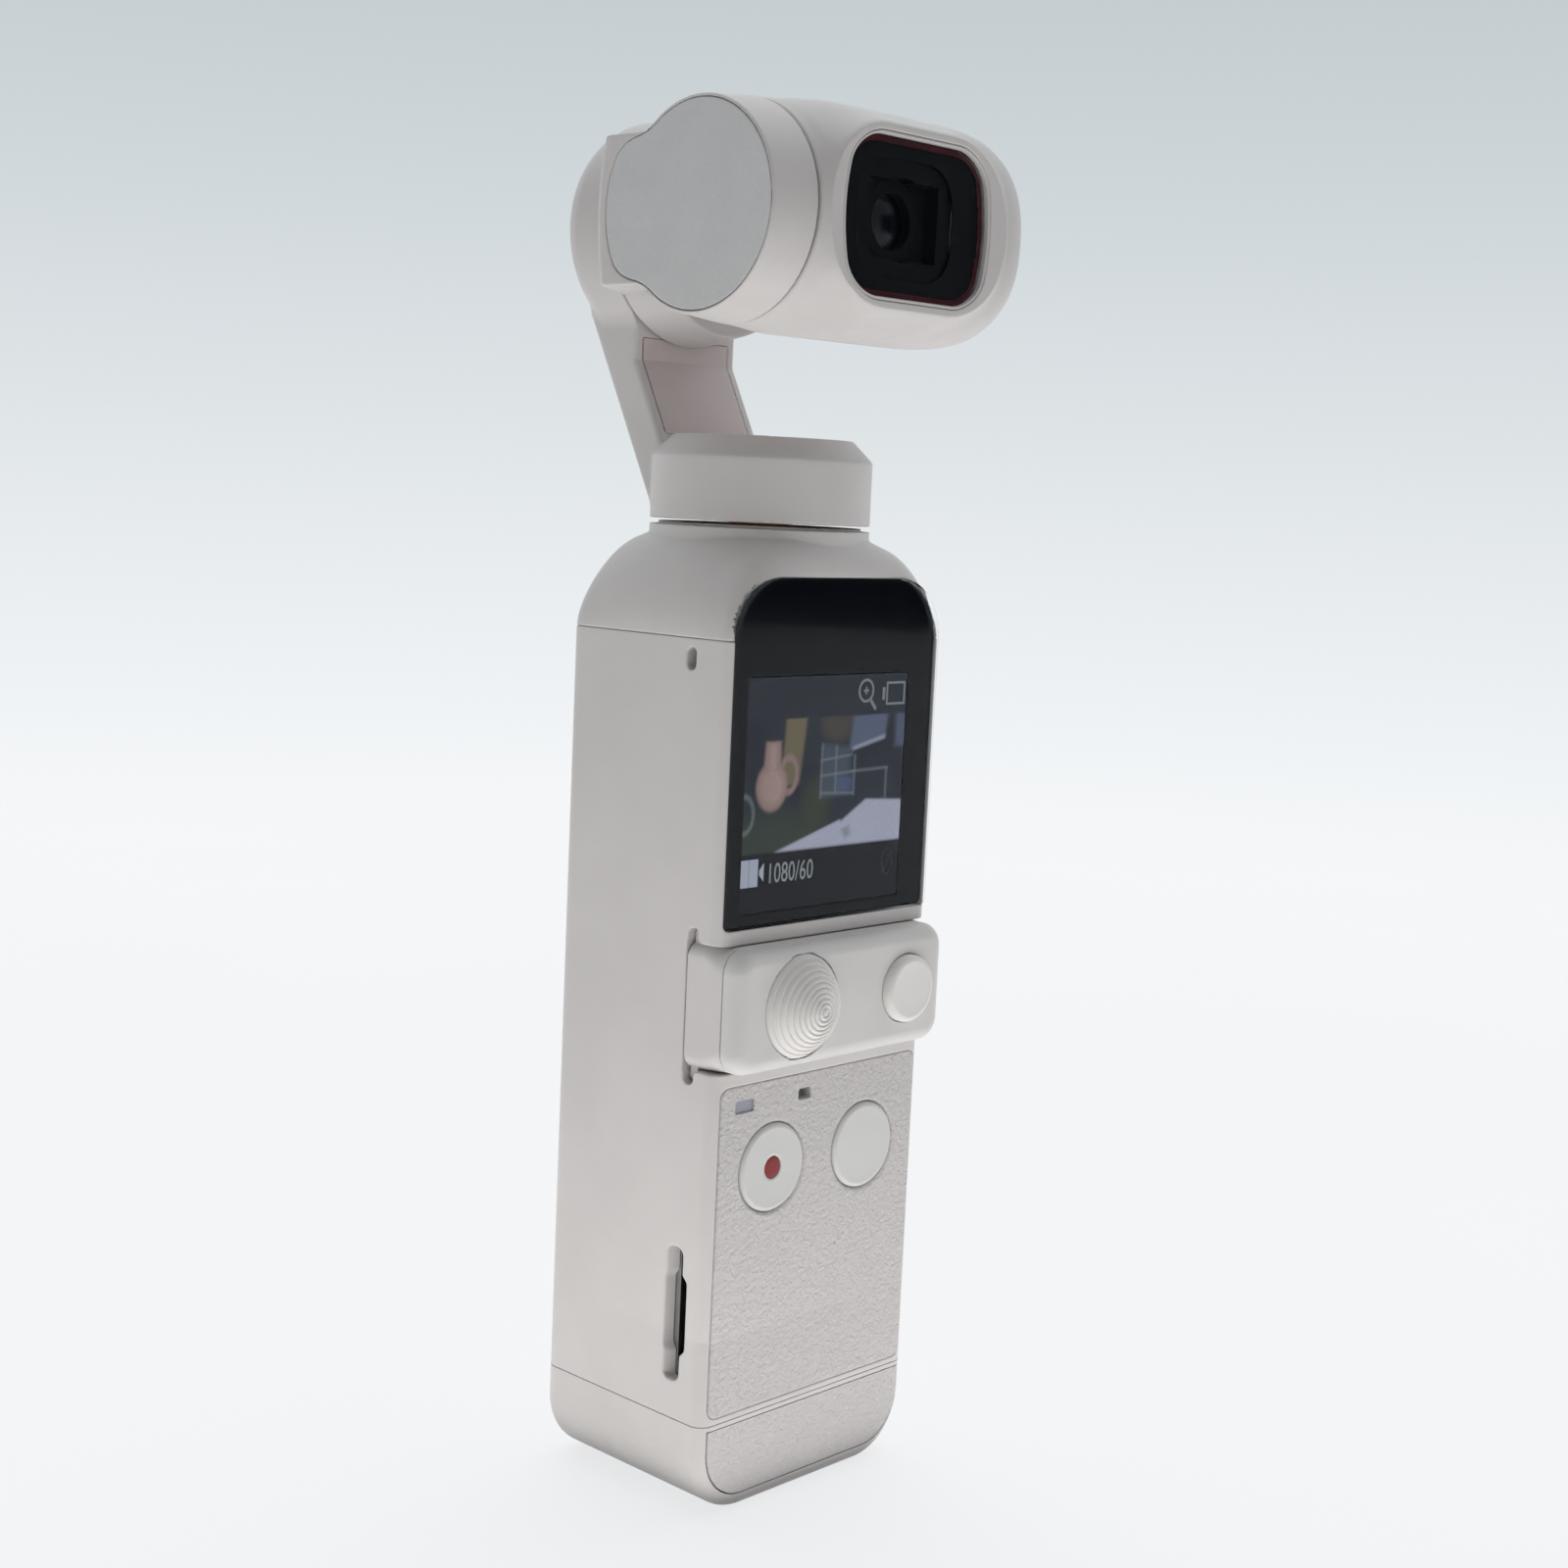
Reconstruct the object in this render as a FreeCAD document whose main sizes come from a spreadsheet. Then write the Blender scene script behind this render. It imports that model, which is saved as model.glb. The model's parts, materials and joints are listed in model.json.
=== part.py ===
import FreeCAD, Part
import math
import os
from types import SimpleNamespace

import Sketcher

# Pocket gimbal camera: an upright handle with a screen, and a camera head on three motor axes.
# The origin is the centre of the handle's underside, +Z is up, the screen and the lens face -Y,
# the tilt motor is on the -X side and the roll motor is at the back.

# Driving dimensions in millimetres, in groups.
SIZES = {
    # Handle body, seen on the screen face (width) and on the side (depth)
    "handle_width": 27.6,
    "handle_depth": 21.2,
    "handle_corner": 1.5,
    "handle_wall": 1.3,
    "base_height": 8.8,
    "shoulder_height": 8.7,
    "shoulder_corner": 8.5,
    "shoulder_room_height": 3.2,
    "neck_radius": 10.1,
    "neck_wall": 1.8,
    "neck_height": 0.85,
    "neck_lip_radius": 9.3,
    "neck_lip_height": 0.25,
    "pan_offset": 0.5,
    "seam_width": 0.14,
    "seam_depth": 0.2,
    "fit_gap": 0.05,
    "slide_gap": 0.1,
    # Screen glass and display
    "glass_margin": 0.6,
    "glass_foot": 0.05,
    "glass_head": 8.7,
    "glass_crown": 5.5,
    "glass_corner": 5.5,
    "glass_foot_corner": 0.5,
    "glass_thickness": 0.9,
    "glass_round": 0.3,
    "glass_ledge": 0.9,
    "display_width": 20.8,
    "display_shift": 0.65,
    "display_foot": 1.15,
    "display_thickness": 1.6,
    # Accessory groove across the front
    "port_rise": 8.1,
    "port_mouth": 11.4,
    "port_undercut": 14.0,
    "port_lip": 2.1,
    "port_depth": 4.1,
    "port_round": 0.7,
    "contact_count": 6,
    "contact_pitch": 1.6,
    "contact_width": 0.9,
    "contact_length": 3.2,
    "contact_relief": 0.08,
    # Openings in the left side
    "card_slot_rise": 9.7,
    "card_slot_setback": 4.1,
    "card_slot_length": 12.3,
    "card_slot_width": 2.0,
    "card_notch_length": 7.0,
    "card_notch_depth": 0.6,
    "card_slot_round": 0.3,
    "card_thickness": 0.8,
    "card_reader_depth": 14.0,
    "mic_slot_drop": 1.8,
    "mic_slot_setback": 5.1,
    "mic_slot_length": 2.0,
    "mic_slot_width": 1.1,
    "mic_slot_round": 0.45,
    "mic_depth": 1.0,
    "mic_width": 3.0,
    "mic_height": 2.2,
    # Leather-grain front panel with its light, microphone hole and buttons
    "panel_margin": 1.05,
    "panel_rise": 0.7,
    "panel_head": 0.05,
    "panel_thickness": 1.1,
    "panel_corner": 0.8,
    "panel_gap": 0.1,
    "light_place": 9.9,
    "light_drop": 1.85,
    "light_width": 2.3,
    "light_height": 1.1,
    "light_depth": 1.9,
    "front_mic_place": 2.2,
    "front_mic_width": 1.6,
    "front_mic_height": 1.0,
    "button_spacing": 12.1,
    "button_rise": 6.85,
    "button_radius": 4.05,
    "button_gap": 0.4,
    "button_proud": 0.3,
    "button_flange": 0.55,
    "button_flange_height": 0.4,
    "button_stem_radius": 1.4,
    "button_clearance": 0.35,
    "record_dot_radius": 1.05,
    "record_dot_inset": 0.4,
    # Inside the handle
    "frame_thickness": 1.0,
    "frame_foot": 0.9,
    "frame_head": 3.3,
    "frame_post": 0.9,
    "screw_inset": 1.9,
    "screw_radius": 0.7,
    "screw_head_radius": 1.3,
    "screw_head_height": 0.6,
    "screw_length": 4.0,
    "boss_radius": 1.6,
    "low_screw_drop": 3.5,
    "high_screw_drop": 5.3,
    "board_thickness": 0.8,
    "main_board_foot": 4.9,
    "main_board_head": 6.3,
    "shield_width": 15.0,
    "shield_length": 22.0,
    "shield_drop": 12.8,
    "shield_height": 1.8,
    "battery_width": 17.6,
    "battery_foot": 5.9,
    "battery_length": 42.0,
    "battery_round": 1.0,
    "key_board_below": 5.9,
    "key_board_above": 4.9,
    "key_board_gap": 0.3,
    "dome_radius": 2.0,
    "dome_height": 0.4,
    "dome_top_radius": 1.2,
    # Charging socket in the underside
    "socket_width": 9.0,
    "socket_height": 3.3,
    "socket_round": 1.3,
    "socket_mouth": 2.4,
    "socket_length": 9.0,
    "socket_wall": 0.33,
    "socket_depth": 6.2,
    "tongue_width": 6.7,
    "tongue_thickness": 0.7,
    "tongue_length": 5.0,
    "socket_clearance": 0.3,
    # Detachable base
    "base_corner": 6.0,
    "base_wall": 1.3,
    "base_panel_head": 0.5,
    "base_panel_bottom": 1.6,
    "base_panel_corner": 4.6,
    "rail_place": 9.6,
    "rail_width": 1.6,
    "rail_length": 8.0,
    "rail_height": 2.2,
    "latch_width": 7.0,
    "latch_height": 2.6,
    "latch_drop": 3.6,
    "latch_proud": 0.4,
    "latch_flange": 0.5,
    # Pan block and arm
    "pan_gap": 0.5,
    "block_radius": 10.1,
    "block_height": 7.65,
    "block_chamfer": 1.9,
    "block_wall": 1.3,
    "arm_width": 13.0,
    "arm_foot": 7.7,
    "arm_thickness": 4.3,
    "arm_bend": 6.7,
    "arm_lean": 3.5,
    "arm_root": 0.3,
    "arm_cover_width": 10.8,
    "arm_cover_thickness": 0.8,
    "arm_channel_width": 8.0,
    "arm_channel_depth": 0.9,
    "arm_flex_thickness": 0.3,
    "arm_cover_reach": 2.0,
    # Roll motor housing and hub
    "axis_height": 18.6,
    "roll_radius": 10.9,
    "roll_depth": 6.5,
    "roll_wall": 1.2,
    "roll_chamfer": 1.5,
    "roll_cap_thickness": 1.1,
    "roll_cap_radius": 9.0,
    "roll_room_radius": 8.4,
    "roll_gap": 0.2,
    "hub_depth": 5.2,
    "hub_nose_radius": 9.5,
    "hub_wall": 1.2,
    "roll_cup_radius": 8.8,
    # Tilt housing on the left
    "tilt_reach": 6.6,
    "tilt_outer": 16.5,
    "tilt_depth": 4.9,
    "tilt_radius": 9.5,
    "tilt_face_radius": 9.0,
    "tilt_wall": 1.2,
    "tilt_room_radius": 7.4,
    "tilt_gap": 0.2,
    "tab_half_height": 6.4,
    "tab_reach": 12.4,
    "tab_root": 8.8,
    "cover_thickness": 0.6,
    "cover_rim": 0.3,
    "cover_end_radius": 9.1,
    "cover_end_shift": 2.2,
    "head_sweep": 12.3,
    # Camera head
    "camera_right": 18.3,
    "camera_front": 10.1,
    "camera_radius": 9.5,
    "camera_corner": 4.6,
    "camera_end_round": 4.4,
    "camera_collar": 1.5,
    "camera_left_round": 1.8,
    "camera_wall": 1.2,
    "camera_cup_radius": 8.2,
    "camera_cup_depth": 3.9,
    "camera_cup_wall": 0.6,
    "end_cap_radius": 4.6,
    "end_cap_thickness": 0.8,
    "camera_end_wall": 0.8,
    "window_width": 18.6,
    "window_height": 13.35,
    "window_shift": 0.2,
    "window_corner": 3.2,
    "window_rim": 0.4,
    "window_rim_depth": 1.1,
    "window_thickness": 0.8,
    "window_sink": 0.08,
    "window_ledge": 0.5,
    "lens_shift": 0.5,
    "lens_radius": 2.5,
    "lens_front": 1.2,
    "barrel_radius": 3.5,
    "lens_thickness": 1.0,
    "lens_pitch": 1.9,
    "lens_count": 3,
    "lens_curve": 6.0,
    "barrel_lip": 0.3,
    "hood_depth": 1.4,
    "baffle_width": 12.4,
    "baffle_height": 10.2,
    "baffle_opening_width": 8.8,
    "baffle_opening_height": 6.6,
    "sensor_width": 6.4,
    "sensor_height": 4.8,
    "sensor_thickness": 0.9,
    "sensor_place": 9.6,
    "sensor_clearance": 0.6,
    "sensor_board_width": 14.4,
    # Motors
    "shaft_radius": 1.2,
    "bearing_radius": 2.4,
    "bearing_width": 1.0,
    "bearing_gap": 0.02,
    "tube_radius": 3.0,
    "tube_back": 2.6,
    "tube_front": 0.4,
    "shaft_back": 3.2,
    "clip_radius": 1.9,
    "clip_thickness": 0.4,
    "magnet_thickness": 1.1,
    "air_gap": 0.35,
    "core_start": 1.0,
    "core_end": 1.2,
    "winding_step": 1.3,
    "winding_overhang": 0.3,
    "magnet_start": 0.7,
    # Slide-in control module
    "module_proud": 2.4,
    "module_corner": 2.2,
    "module_round": 1.5,
    "module_wall": 1.0,
    "module_split": 0.35,
    "rail_inset": 1.6,
    "module_rail_gap": 0.2,
    "module_floor": 0.7,
    "module_board_width": 22.0,
    "module_board_height": 8.8,
    "stick_place": 5.6,
    "stick_sphere": 5.3,
    "stick_pivot": 2.9,
    "stick_gap": 0.2,
    "stick_skirt": 0.6,
    "stick_rim": 0.3,
    "stick_relief_radius": 5.3,
    "stick_relief_depth": 0.8,
    "stick_ring_count": 11,
    "stick_stem_radius": 1.0,
    "stick_stem_drop": 0.7,
    "rocker_radius": 2.6,
    "rocker_wall": 0.7,
    "rocker_height": 0.9,
    "pivot_pin_radius": 0.3,
    "stick_base_radius": 3.9,
    "stick_base_wall": 0.6,
    "mode_place": 8.3,
    "mode_radius": 3.2,
    "mode_gap": 0.14,
    "mode_proud": 0.5,
    "mode_round": 0.4,
    "mode_flange": 0.5,
    "mode_travel_gap": 0.75,
    "mode_switch_radius": 1.6,
    "mode_switch_height": 0.4,
}

os.makedirs("parts", exist_ok=True)
doc = FreeCAD.newDocument("gimbal_camera")
Vector = FreeCAD.Vector


class Size:
    """A length that carries its number and the spreadsheet formula that it comes from."""

    def __init__(self, number, formula):
        self.number = float(number)
        self.formula = formula

    def __add__(self, other):
        other = as_size(other)
        return Size(self.number + other.number, f"({self.formula} + {other.formula})")

    def __sub__(self, other):
        other = as_size(other)
        return Size(self.number - other.number, f"({self.formula} - {other.formula})")

    def __mul__(self, other):
        other = as_size(other)
        return Size(self.number * other.number, f"({self.formula} * {other.formula})")

    def __truediv__(self, other):
        other = as_size(other)
        return Size(self.number / other.number, f"({self.formula} / {other.formula})")

    def __rsub__(self, other):
        return as_size(other) - self

    def __neg__(self):
        return as_size(0) - self

    __radd__ = __add__
    __rmul__ = __mul__


def as_size(value):
    """Turn a plain number into a Size."""
    if isinstance(value, Size):
        return value
    return Size(value, f"({float(value)!r})")


def root(value):
    """Square root of a Size."""
    return Size(math.sqrt(value.number), f"sqrt({value.formula})")


def fill_sheet():
    """Write the driving dimensions into the spreadsheet and return them by name."""
    sheet = doc.addObject("Spreadsheet::Sheet", "sizes")
    for row, (name, value) in enumerate(SIZES.items(), start=1):
        sheet.set(f"A{row}", name)
        sheet.set(f"B{row}", str(value))
        sheet.setAlias(f"B{row}", name)
    doc.recompute()
    return SimpleNamespace(**{name: Size(value, f"sizes.{name}") for name, value in SIZES.items()})


size = fill_sheet()
SUBPARTS = []

# How the three axis directions map onto primitives and sketch planes.
TURNS = {
    "X": FreeCAD.Rotation(Vector(0, 1, 0), 90),
    "Y": FreeCAD.Rotation(Vector(1, 0, 0), -90),
    "Z": FreeCAD.Rotation(),
}
PLANES = {"X": "YZ_Plane", "Y": "XZ_Plane", "Z": "XY_Plane"}


def bind(item, name, value):
    """Tie one property of a document object to the spreadsheet."""
    item.setExpression(name, as_size(value).formula)


def move_to(item, x, y, z):
    """Tie an object's place to the spreadsheet."""
    for axis, value in zip("xyz", (x, y, z)):
        bind(item, f"Placement.Base.{axis}", value)


def along(axis, centre, start):
    """Coordinates of a point at start along the axis; centre holds the other two, in XYZ order."""
    first, second = centre
    return {"X": (start, first, second), "Y": (first, start, second), "Z": (first, second, start)}[axis]


def ordered(first, second):
    """A span from the smaller to the larger of two places."""
    first = as_size(first)
    second = as_size(second)
    return (first, second) if first.number <= second.number else (second, first)


def about(middle, width):
    """A span of the given width about a middle."""
    return as_size(middle) - as_size(width) / 2, as_size(middle) + as_size(width) / 2


def block(name, x, y, z):
    """Box from three spans."""
    item = doc.addObject("Part::Box", name)
    for prop, span in zip(("Length", "Width", "Height"), (x, y, z)):
        bind(item, prop, as_size(span[1]) - span[0])
    move_to(item, x[0], y[0], z[0])
    return item


def rod(name, axis, centre, radius, span):
    """Cylinder along an axis."""
    item = doc.addObject("Part::Cylinder", name)
    item.Placement.Rotation = TURNS[axis]
    bind(item, "Radius", radius)
    bind(item, "Height", as_size(span[1]) - span[0])
    move_to(item, *along(axis, centre, span[0]))
    return item


def taper(name, axis, centre, radii, span):
    """Cone frustum along an axis."""
    item = doc.addObject("Part::Cone", name)
    item.Placement.Rotation = TURNS[axis]
    bind(item, "Radius1", radii[0])
    bind(item, "Radius2", radii[1])
    bind(item, "Height", as_size(span[1]) - span[0])
    move_to(item, *along(axis, centre, span[0]))
    return item


def ball(name, centre, radius):
    """Sphere."""
    item = doc.addObject("Part::Sphere", name)
    bind(item, "Radius", radius)
    move_to(item, *centre)
    return item


def join(name, *items):
    """Union of solids."""
    item = doc.addObject("Part::MultiFuse", name)
    item.Shapes = list(items)
    item.Refine = True
    return item


def carve(name, base, *tools):
    """A solid with others cut out of it."""
    item = doc.addObject("Part::Cut", name)
    item.Base = base
    item.Tool = tools[0] if len(tools) == 1 else join(f"{name}_tools", *tools)
    item.Refine = True
    return item


def overlap(name, first, second):
    """What two solids have in common."""
    item = doc.addObject("Part::Common", name)
    item.Base = first
    item.Tool = second
    item.Refine = True
    return item


def group(name, *items):
    """Separate solids kept in one sub-part."""
    item = doc.addObject("Part::Compound", name)
    item.Links = list(items)
    return item


def ring(name, axis, centre, outer, inner, span):
    """Tube along an axis."""
    return carve(
        name,
        rod(f"{name}_outer", axis, centre, outer, span),
        rod(f"{name}_inner", axis, centre, inner, span),
    )


def subpart(item, label):
    """Name a finished sub-part and put it on the list that is exported."""
    item.Label = label
    SUBPARTS.append(item)
    return item


def pin_point(sketch, index, u, v):
    """Hold the start of one sketch element at (u, v), tied to the spreadsheet."""
    for kind, value, axis in (("DistanceX", u, -2), ("DistanceY", v, -1)):
        value = as_size(value)
        if value.number == 0:
            sketch.addConstraint(Sketcher.Constraint("PointOnObject", index, 1, axis))
            continue
        row = sketch.addConstraint(Sketcher.Constraint(kind, -1, 1, index, 1, value.number))
        sketch.setExpression(f"Constraints[{row}]", value.formula)


def direction(start, end):
    """Unit step from one corner to the next, for corners joined by level or upright lines."""
    step = []
    for first, second in zip(start, end):
        change = as_size(second).number - as_size(first).number
        step.append(0 if abs(change) < 1e-9 else math.copysign(1, change))
    return step


def outline_elements(corners):
    """Lines and quarter arcs of a closed outline; a corner is (u, v) or (u, v, radius)."""
    elements = []
    count = len(corners)
    for index, corner in enumerate(corners):
        before = corners[index - 1]
        after = corners[(index + 1) % count]
        if len(corner) == 2:
            elements.append(("line", corner[0], corner[1]))
            continue
        u, v, radius = corner
        back = direction((u, v), before[:2])
        ahead = direction((u, v), after[:2])
        centre = (u + radius * (back[0] + ahead[0]), v + radius * (back[1] + ahead[1]))
        elements.append(("arc", u + radius * back[0], v + radius * back[1], radius, centre))
        elements.append(("line", u + radius * ahead[0], v + radius * ahead[1]))
    return elements


def draw_outline(sketch, corners):
    """Draw and constrain a closed anticlockwise outline."""
    elements = outline_elements(corners)
    count = len(elements)
    for index, element in enumerate(elements):
        following = elements[(index + 1) % count]
        start = Vector(as_size(element[1]).number, as_size(element[2]).number, 0)
        end = Vector(as_size(following[1]).number, as_size(following[2]).number, 0)
        if element[0] == "line":
            sketch.addGeometry(Part.LineSegment(start, end), False)
            continue
        radius = as_size(element[3])
        centre = Vector(as_size(element[4][0]).number, as_size(element[4][1]).number, 0)
        first = math.atan2(start.y - centre.y, start.x - centre.x)
        last = math.atan2(end.y - centre.y, end.x - centre.x)
        circle = Part.Circle(centre, Vector(0, 0, 1), radius.number)
        sketch.addGeometry(Part.ArcOfCircle(circle, first, last), False)
    for index in range(count):
        sketch.addConstraint(Sketcher.Constraint("Coincident", index, 2, (index + 1) % count, 1))
    for index, element in enumerate(elements):
        pin_point(sketch, index, element[1], element[2])
        if element[0] == "arc":
            radius = as_size(element[3])
            row = sketch.addConstraint(Sketcher.Constraint("Radius", index, radius.number))
            sketch.setExpression(f"Constraints[{row}]", radius.formula)


def prism(name, axis, corners, span):
    """Body with one padded outline; the outline lies in the plane square to the axis."""
    body = doc.addObject("PartDesign::Body", name)
    sketch = body.newObject("Sketcher::SketchObject", f"{name}_outline")
    plane = [item for item in body.Origin.OriginFeatures if item.Role == PLANES[axis]][0]
    sketch.AttachmentSupport = [(plane, "")]
    sketch.MapMode = "FlatFace"
    start = -as_size(span[1]) if axis == "Y" else span[0]
    bind(sketch, "AttachmentOffset.Base.z", start)
    draw_outline(sketch, corners)
    pad = body.newObject("PartDesign::Pad", f"{name}_pad")
    pad.Profile = sketch
    bind(pad, "Length", as_size(span[1]) - span[0])
    return body


def rectangle(u, v, low_left=None, low_right=None, high_right=None, high_left=None):
    """Anticlockwise corners of a rectangle, each with its own radius where one is given."""
    corners = []
    places = ((u[0], v[0], low_left), (u[1], v[0], low_right), (u[1], v[1], high_right), (u[0], v[1], high_left))
    for first, second, radius in places:
        corners.append((first, second) if radius is None else (first, second, radius))
    return corners


def rounded(u, v, radius):
    """Rectangle with four equal corners."""
    return rectangle(u, v, radius, radius, radius, radius)


def lies_at(edge, axis, place):
    """Whether an edge lies in the plane at place along an axis."""
    box = edge.BoundBox
    low = getattr(box, f"{axis}Min")
    high = getattr(box, f"{axis}Max")
    place = as_size(place).number
    return abs(low - place) < 0.01 and abs(high - place) < 0.01


def round_body(body, name, radius, wanted):
    """Fillet the wanted edges of a body's last feature."""
    doc.recompute()
    edges = [f"Edge{index}" for index, edge in enumerate(body.Shape.Edges, start=1) if wanted(edge)]
    fillet = body.newObject("PartDesign::Fillet", name)
    fillet.Base = (fillet.BaseFeature, edges)
    bind(fillet, "Radius", radius)
    return body


def soften(name, base, radius, wanted):
    """Fillet the wanted edges of a solid made from primitives."""
    doc.recompute()
    item = doc.addObject("Part::Fillet", name)
    item.Base = base
    radius = as_size(radius).number
    chosen = [index for index, edge in enumerate(base.Shape.Edges, start=1) if wanted(edge)]
    item.Edges = [(index, radius, radius) for index in chosen]
    return item


# Places that several sub-parts share.
SIDE = size.handle_width / 2
FRONT = -(size.handle_depth / 2)
BACK = size.handle_depth / 2
FLOOR = size.base_height + size.handle_wall
CARD_LEVEL = size.base_height + size.card_slot_rise
BUTTON_LEVEL = CARD_LEVEL + size.card_slot_length / 2 + size.button_rise
PORT_LEVEL = BUTTON_LEVEL + size.port_rise + size.port_undercut / 2
PORT_MOUTH = about(PORT_LEVEL, size.port_mouth)
PORT_UNDERCUT = about(PORT_LEVEL, size.port_undercut)
PANEL_UP = (size.base_height + size.panel_rise, PORT_UNDERCUT[0] - size.panel_head)
LIGHT_LEVEL = PANEL_UP[1] - size.light_drop
GLASS_FOOT = PORT_UNDERCUT[1] + size.glass_foot
DISPLAY_UP = (GLASS_FOOT + size.display_foot, GLASS_FOOT + size.display_foot + size.display_width)
GLASS_TOP = DISPLAY_UP[1] + size.glass_head
SEAM = GLASS_TOP - size.glass_crown
CARD_PLACE = FRONT + size.card_slot_setback
SIDE_MIC_PLACE = FRONT + size.mic_slot_setback
SHOULDER_TOP = SEAM + size.shoulder_height
NECK_TOP = SHOULDER_TOP + size.neck_height
PAN_CENTRE = (0, size.pan_offset)
BLOCK_BOTTOM = NECK_TOP + size.pan_gap
BLOCK_TOP = BLOCK_BOTTOM + size.block_height
AXIS_LEVEL = BLOCK_TOP + size.axis_height
ACROSS = (-SIDE, SIDE)
ROOM_ACROSS = (-(SIDE - size.handle_wall), SIDE - size.handle_wall)
ROOM_BACK = BACK - size.handle_wall
PORT_BACK = FRONT + size.port_depth
GLASS_BACK = FRONT + size.glass_thickness
LEDGE_BACK = GLASS_BACK + size.glass_ledge
PANEL_BACK = FRONT + size.panel_thickness
PANEL_WALL_BACK = PANEL_BACK + size.handle_wall
DISPLAY_ACROSS = about(-size.display_shift, size.display_width)
SCREW_REACH = SIDE - size.handle_wall - size.screw_inset
FRAME_BACK = PORT_BACK + size.handle_wall + size.frame_thickness
FRAME_FRONT = FRAME_BACK - size.frame_thickness
BOARD_BACK = FRAME_BACK + size.board_thickness
SHIELD_BACK = BOARD_BACK + size.shield_height
KEY_BOARD_BACK = FRAME_FRONT - size.frame_post
KEY_BOARD_FRONT = KEY_BOARD_BACK - size.board_thickness
DOME_FRONT = KEY_BOARD_FRONT - size.dome_height
ROLL_FACE = size.arm_foot + size.arm_lean
ROLL_BACK = ROLL_FACE + size.roll_depth
HUB_BACK = ROLL_FACE - size.roll_gap
HUB_FRONT = HUB_BACK - size.hub_depth
ROLL_CENTRE = (0, AXIS_LEVEL)
TILT_CENTRE = (-size.tilt_reach, AXIS_LEVEL)
TILT_OUTER = -size.tilt_outer
TILT_FACE = TILT_OUTER + size.tilt_depth
CAMERA_LEFT = TILT_FACE + size.tilt_gap
CAMERA_FRONT = -size.tilt_reach - size.camera_front
CAMERA_CUP_FLOOR = CAMERA_LEFT + size.camera_cup_depth
CAMERA_ROOM_LEFT = CAMERA_CUP_FLOOR + size.camera_cup_wall
MODULE_FRONT = FRONT - size.module_proud
MODULE_UP = (PORT_MOUTH[0] + size.slide_gap, PORT_MOUTH[1] - size.slide_gap)
RAIL_UP = (PORT_UNDERCUT[0] + size.slide_gap, PORT_UNDERCUT[1] - size.slide_gap)
RAIL_BACK = PORT_BACK - size.module_rail_gap
RAIL_FRONT = FRONT + size.port_lip + size.slide_gap
BEYOND = size.handle_wall
OPEN = 2 * size.handle_wall


def plan(inset=0):
    """Outline of the handle seen from above, drawn in by an inset."""
    return rounded((-SIDE + inset, SIDE - inset), (FRONT + inset, BACK - inset), size.handle_corner)


def seam_ring(name, span):
    """Shallow groove round the handle that shows as a parting line."""
    width = (-SIDE - OPEN, SIDE + OPEN)
    depth = (FRONT - OPEN, BACK + OPEN)
    return carve(name, block(f"{name}_all", width, depth, span), prism(f"{name}_core", "Z", plan(size.seam_depth), span))


def glass_outline(gap=0):
    """Outline of the screen glass: large corners at the top, small ones at the foot."""
    half = SIDE - size.glass_margin + gap
    up = (GLASS_FOOT - gap, GLASS_TOP + gap)
    foot = size.glass_foot_corner
    top = size.glass_corner
    return rectangle((-half, half), up, foot, foot, top, top)


def glass_recess(name):
    """Seat of the screen glass, open to the front."""
    return prism(name, "Y", glass_outline(size.fit_gap), (FRONT - OPEN, GLASS_BACK))


def panel_outline(gap=0):
    """Outline of the leather-grain front panel."""
    half = SIDE - size.panel_margin + gap
    return rounded((-half, half), (PANEL_UP[0] - gap, PANEL_UP[1] + gap), size.panel_corner)


def button_places():
    """X places of the record and power buttons."""
    return {"record": -(size.button_spacing / 2), "power": size.button_spacing / 2}


def button_holes(name, radius, span):
    """Round openings for the two buttons."""
    return [
        rod(f"{name}_{key}", "Y", (place, BUTTON_LEVEL), radius, span)
        for key, place in button_places().items()
    ]


def light_hole(name, span):
    """Opening for the status light."""
    across = about(-size.light_place, size.light_width)
    return block(name, across, span, about(LIGHT_LEVEL, size.light_height))


def front_mic_hole(name, span):
    """Opening for the front microphone."""
    across = about(-size.front_mic_place, size.front_mic_width)
    return block(name, across, span, about(LIGHT_LEVEL, size.front_mic_height))


def side_slots():
    """Card slot with its fingernail notch and the side microphone slot."""
    span = (-SIDE - BEYOND, -SIDE + size.handle_wall + BEYOND)
    slot_along = about(CARD_PLACE, size.card_slot_width)
    slot_up = about(CARD_LEVEL, size.card_slot_length)
    notch_along = (slot_along[0] - size.card_notch_depth, slot_along[1])
    notch_up = about(CARD_LEVEL, size.card_notch_length)
    mic_along = about(SIDE_MIC_PLACE, size.mic_slot_width)
    mic_up = about(SEAM - size.mic_slot_drop, size.mic_slot_length)
    return [
        prism("card_slot", "X", rounded(slot_along, slot_up, size.card_slot_round), span),
        prism("card_notch", "X", rounded(notch_along, notch_up, size.card_slot_round), span),
        prism("mic_slot", "X", rounded(mic_along, mic_up, size.mic_slot_round), span),
    ]


def screw_places():
    """X and Z places of the four frame screws."""
    levels = (BUTTON_LEVEL - size.low_screw_drop, SEAM - size.high_screw_drop)
    return [(sign * SCREW_REACH, level) for level in levels for sign in (-1, 1)]


def socket_outline(gap=0):
    """Outline of the charging socket seen from below."""
    across = about(0, size.socket_width + 2 * gap)
    deep = about(0, size.socket_height + 2 * gap)
    return rounded(across, deep, size.socket_round)


def rail_spans(gap=0):
    """X spans of the two rails that the base slides in on."""
    return [about(sign * size.rail_place, size.rail_width + 2 * gap) for sign in (-1, 1)]


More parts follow.
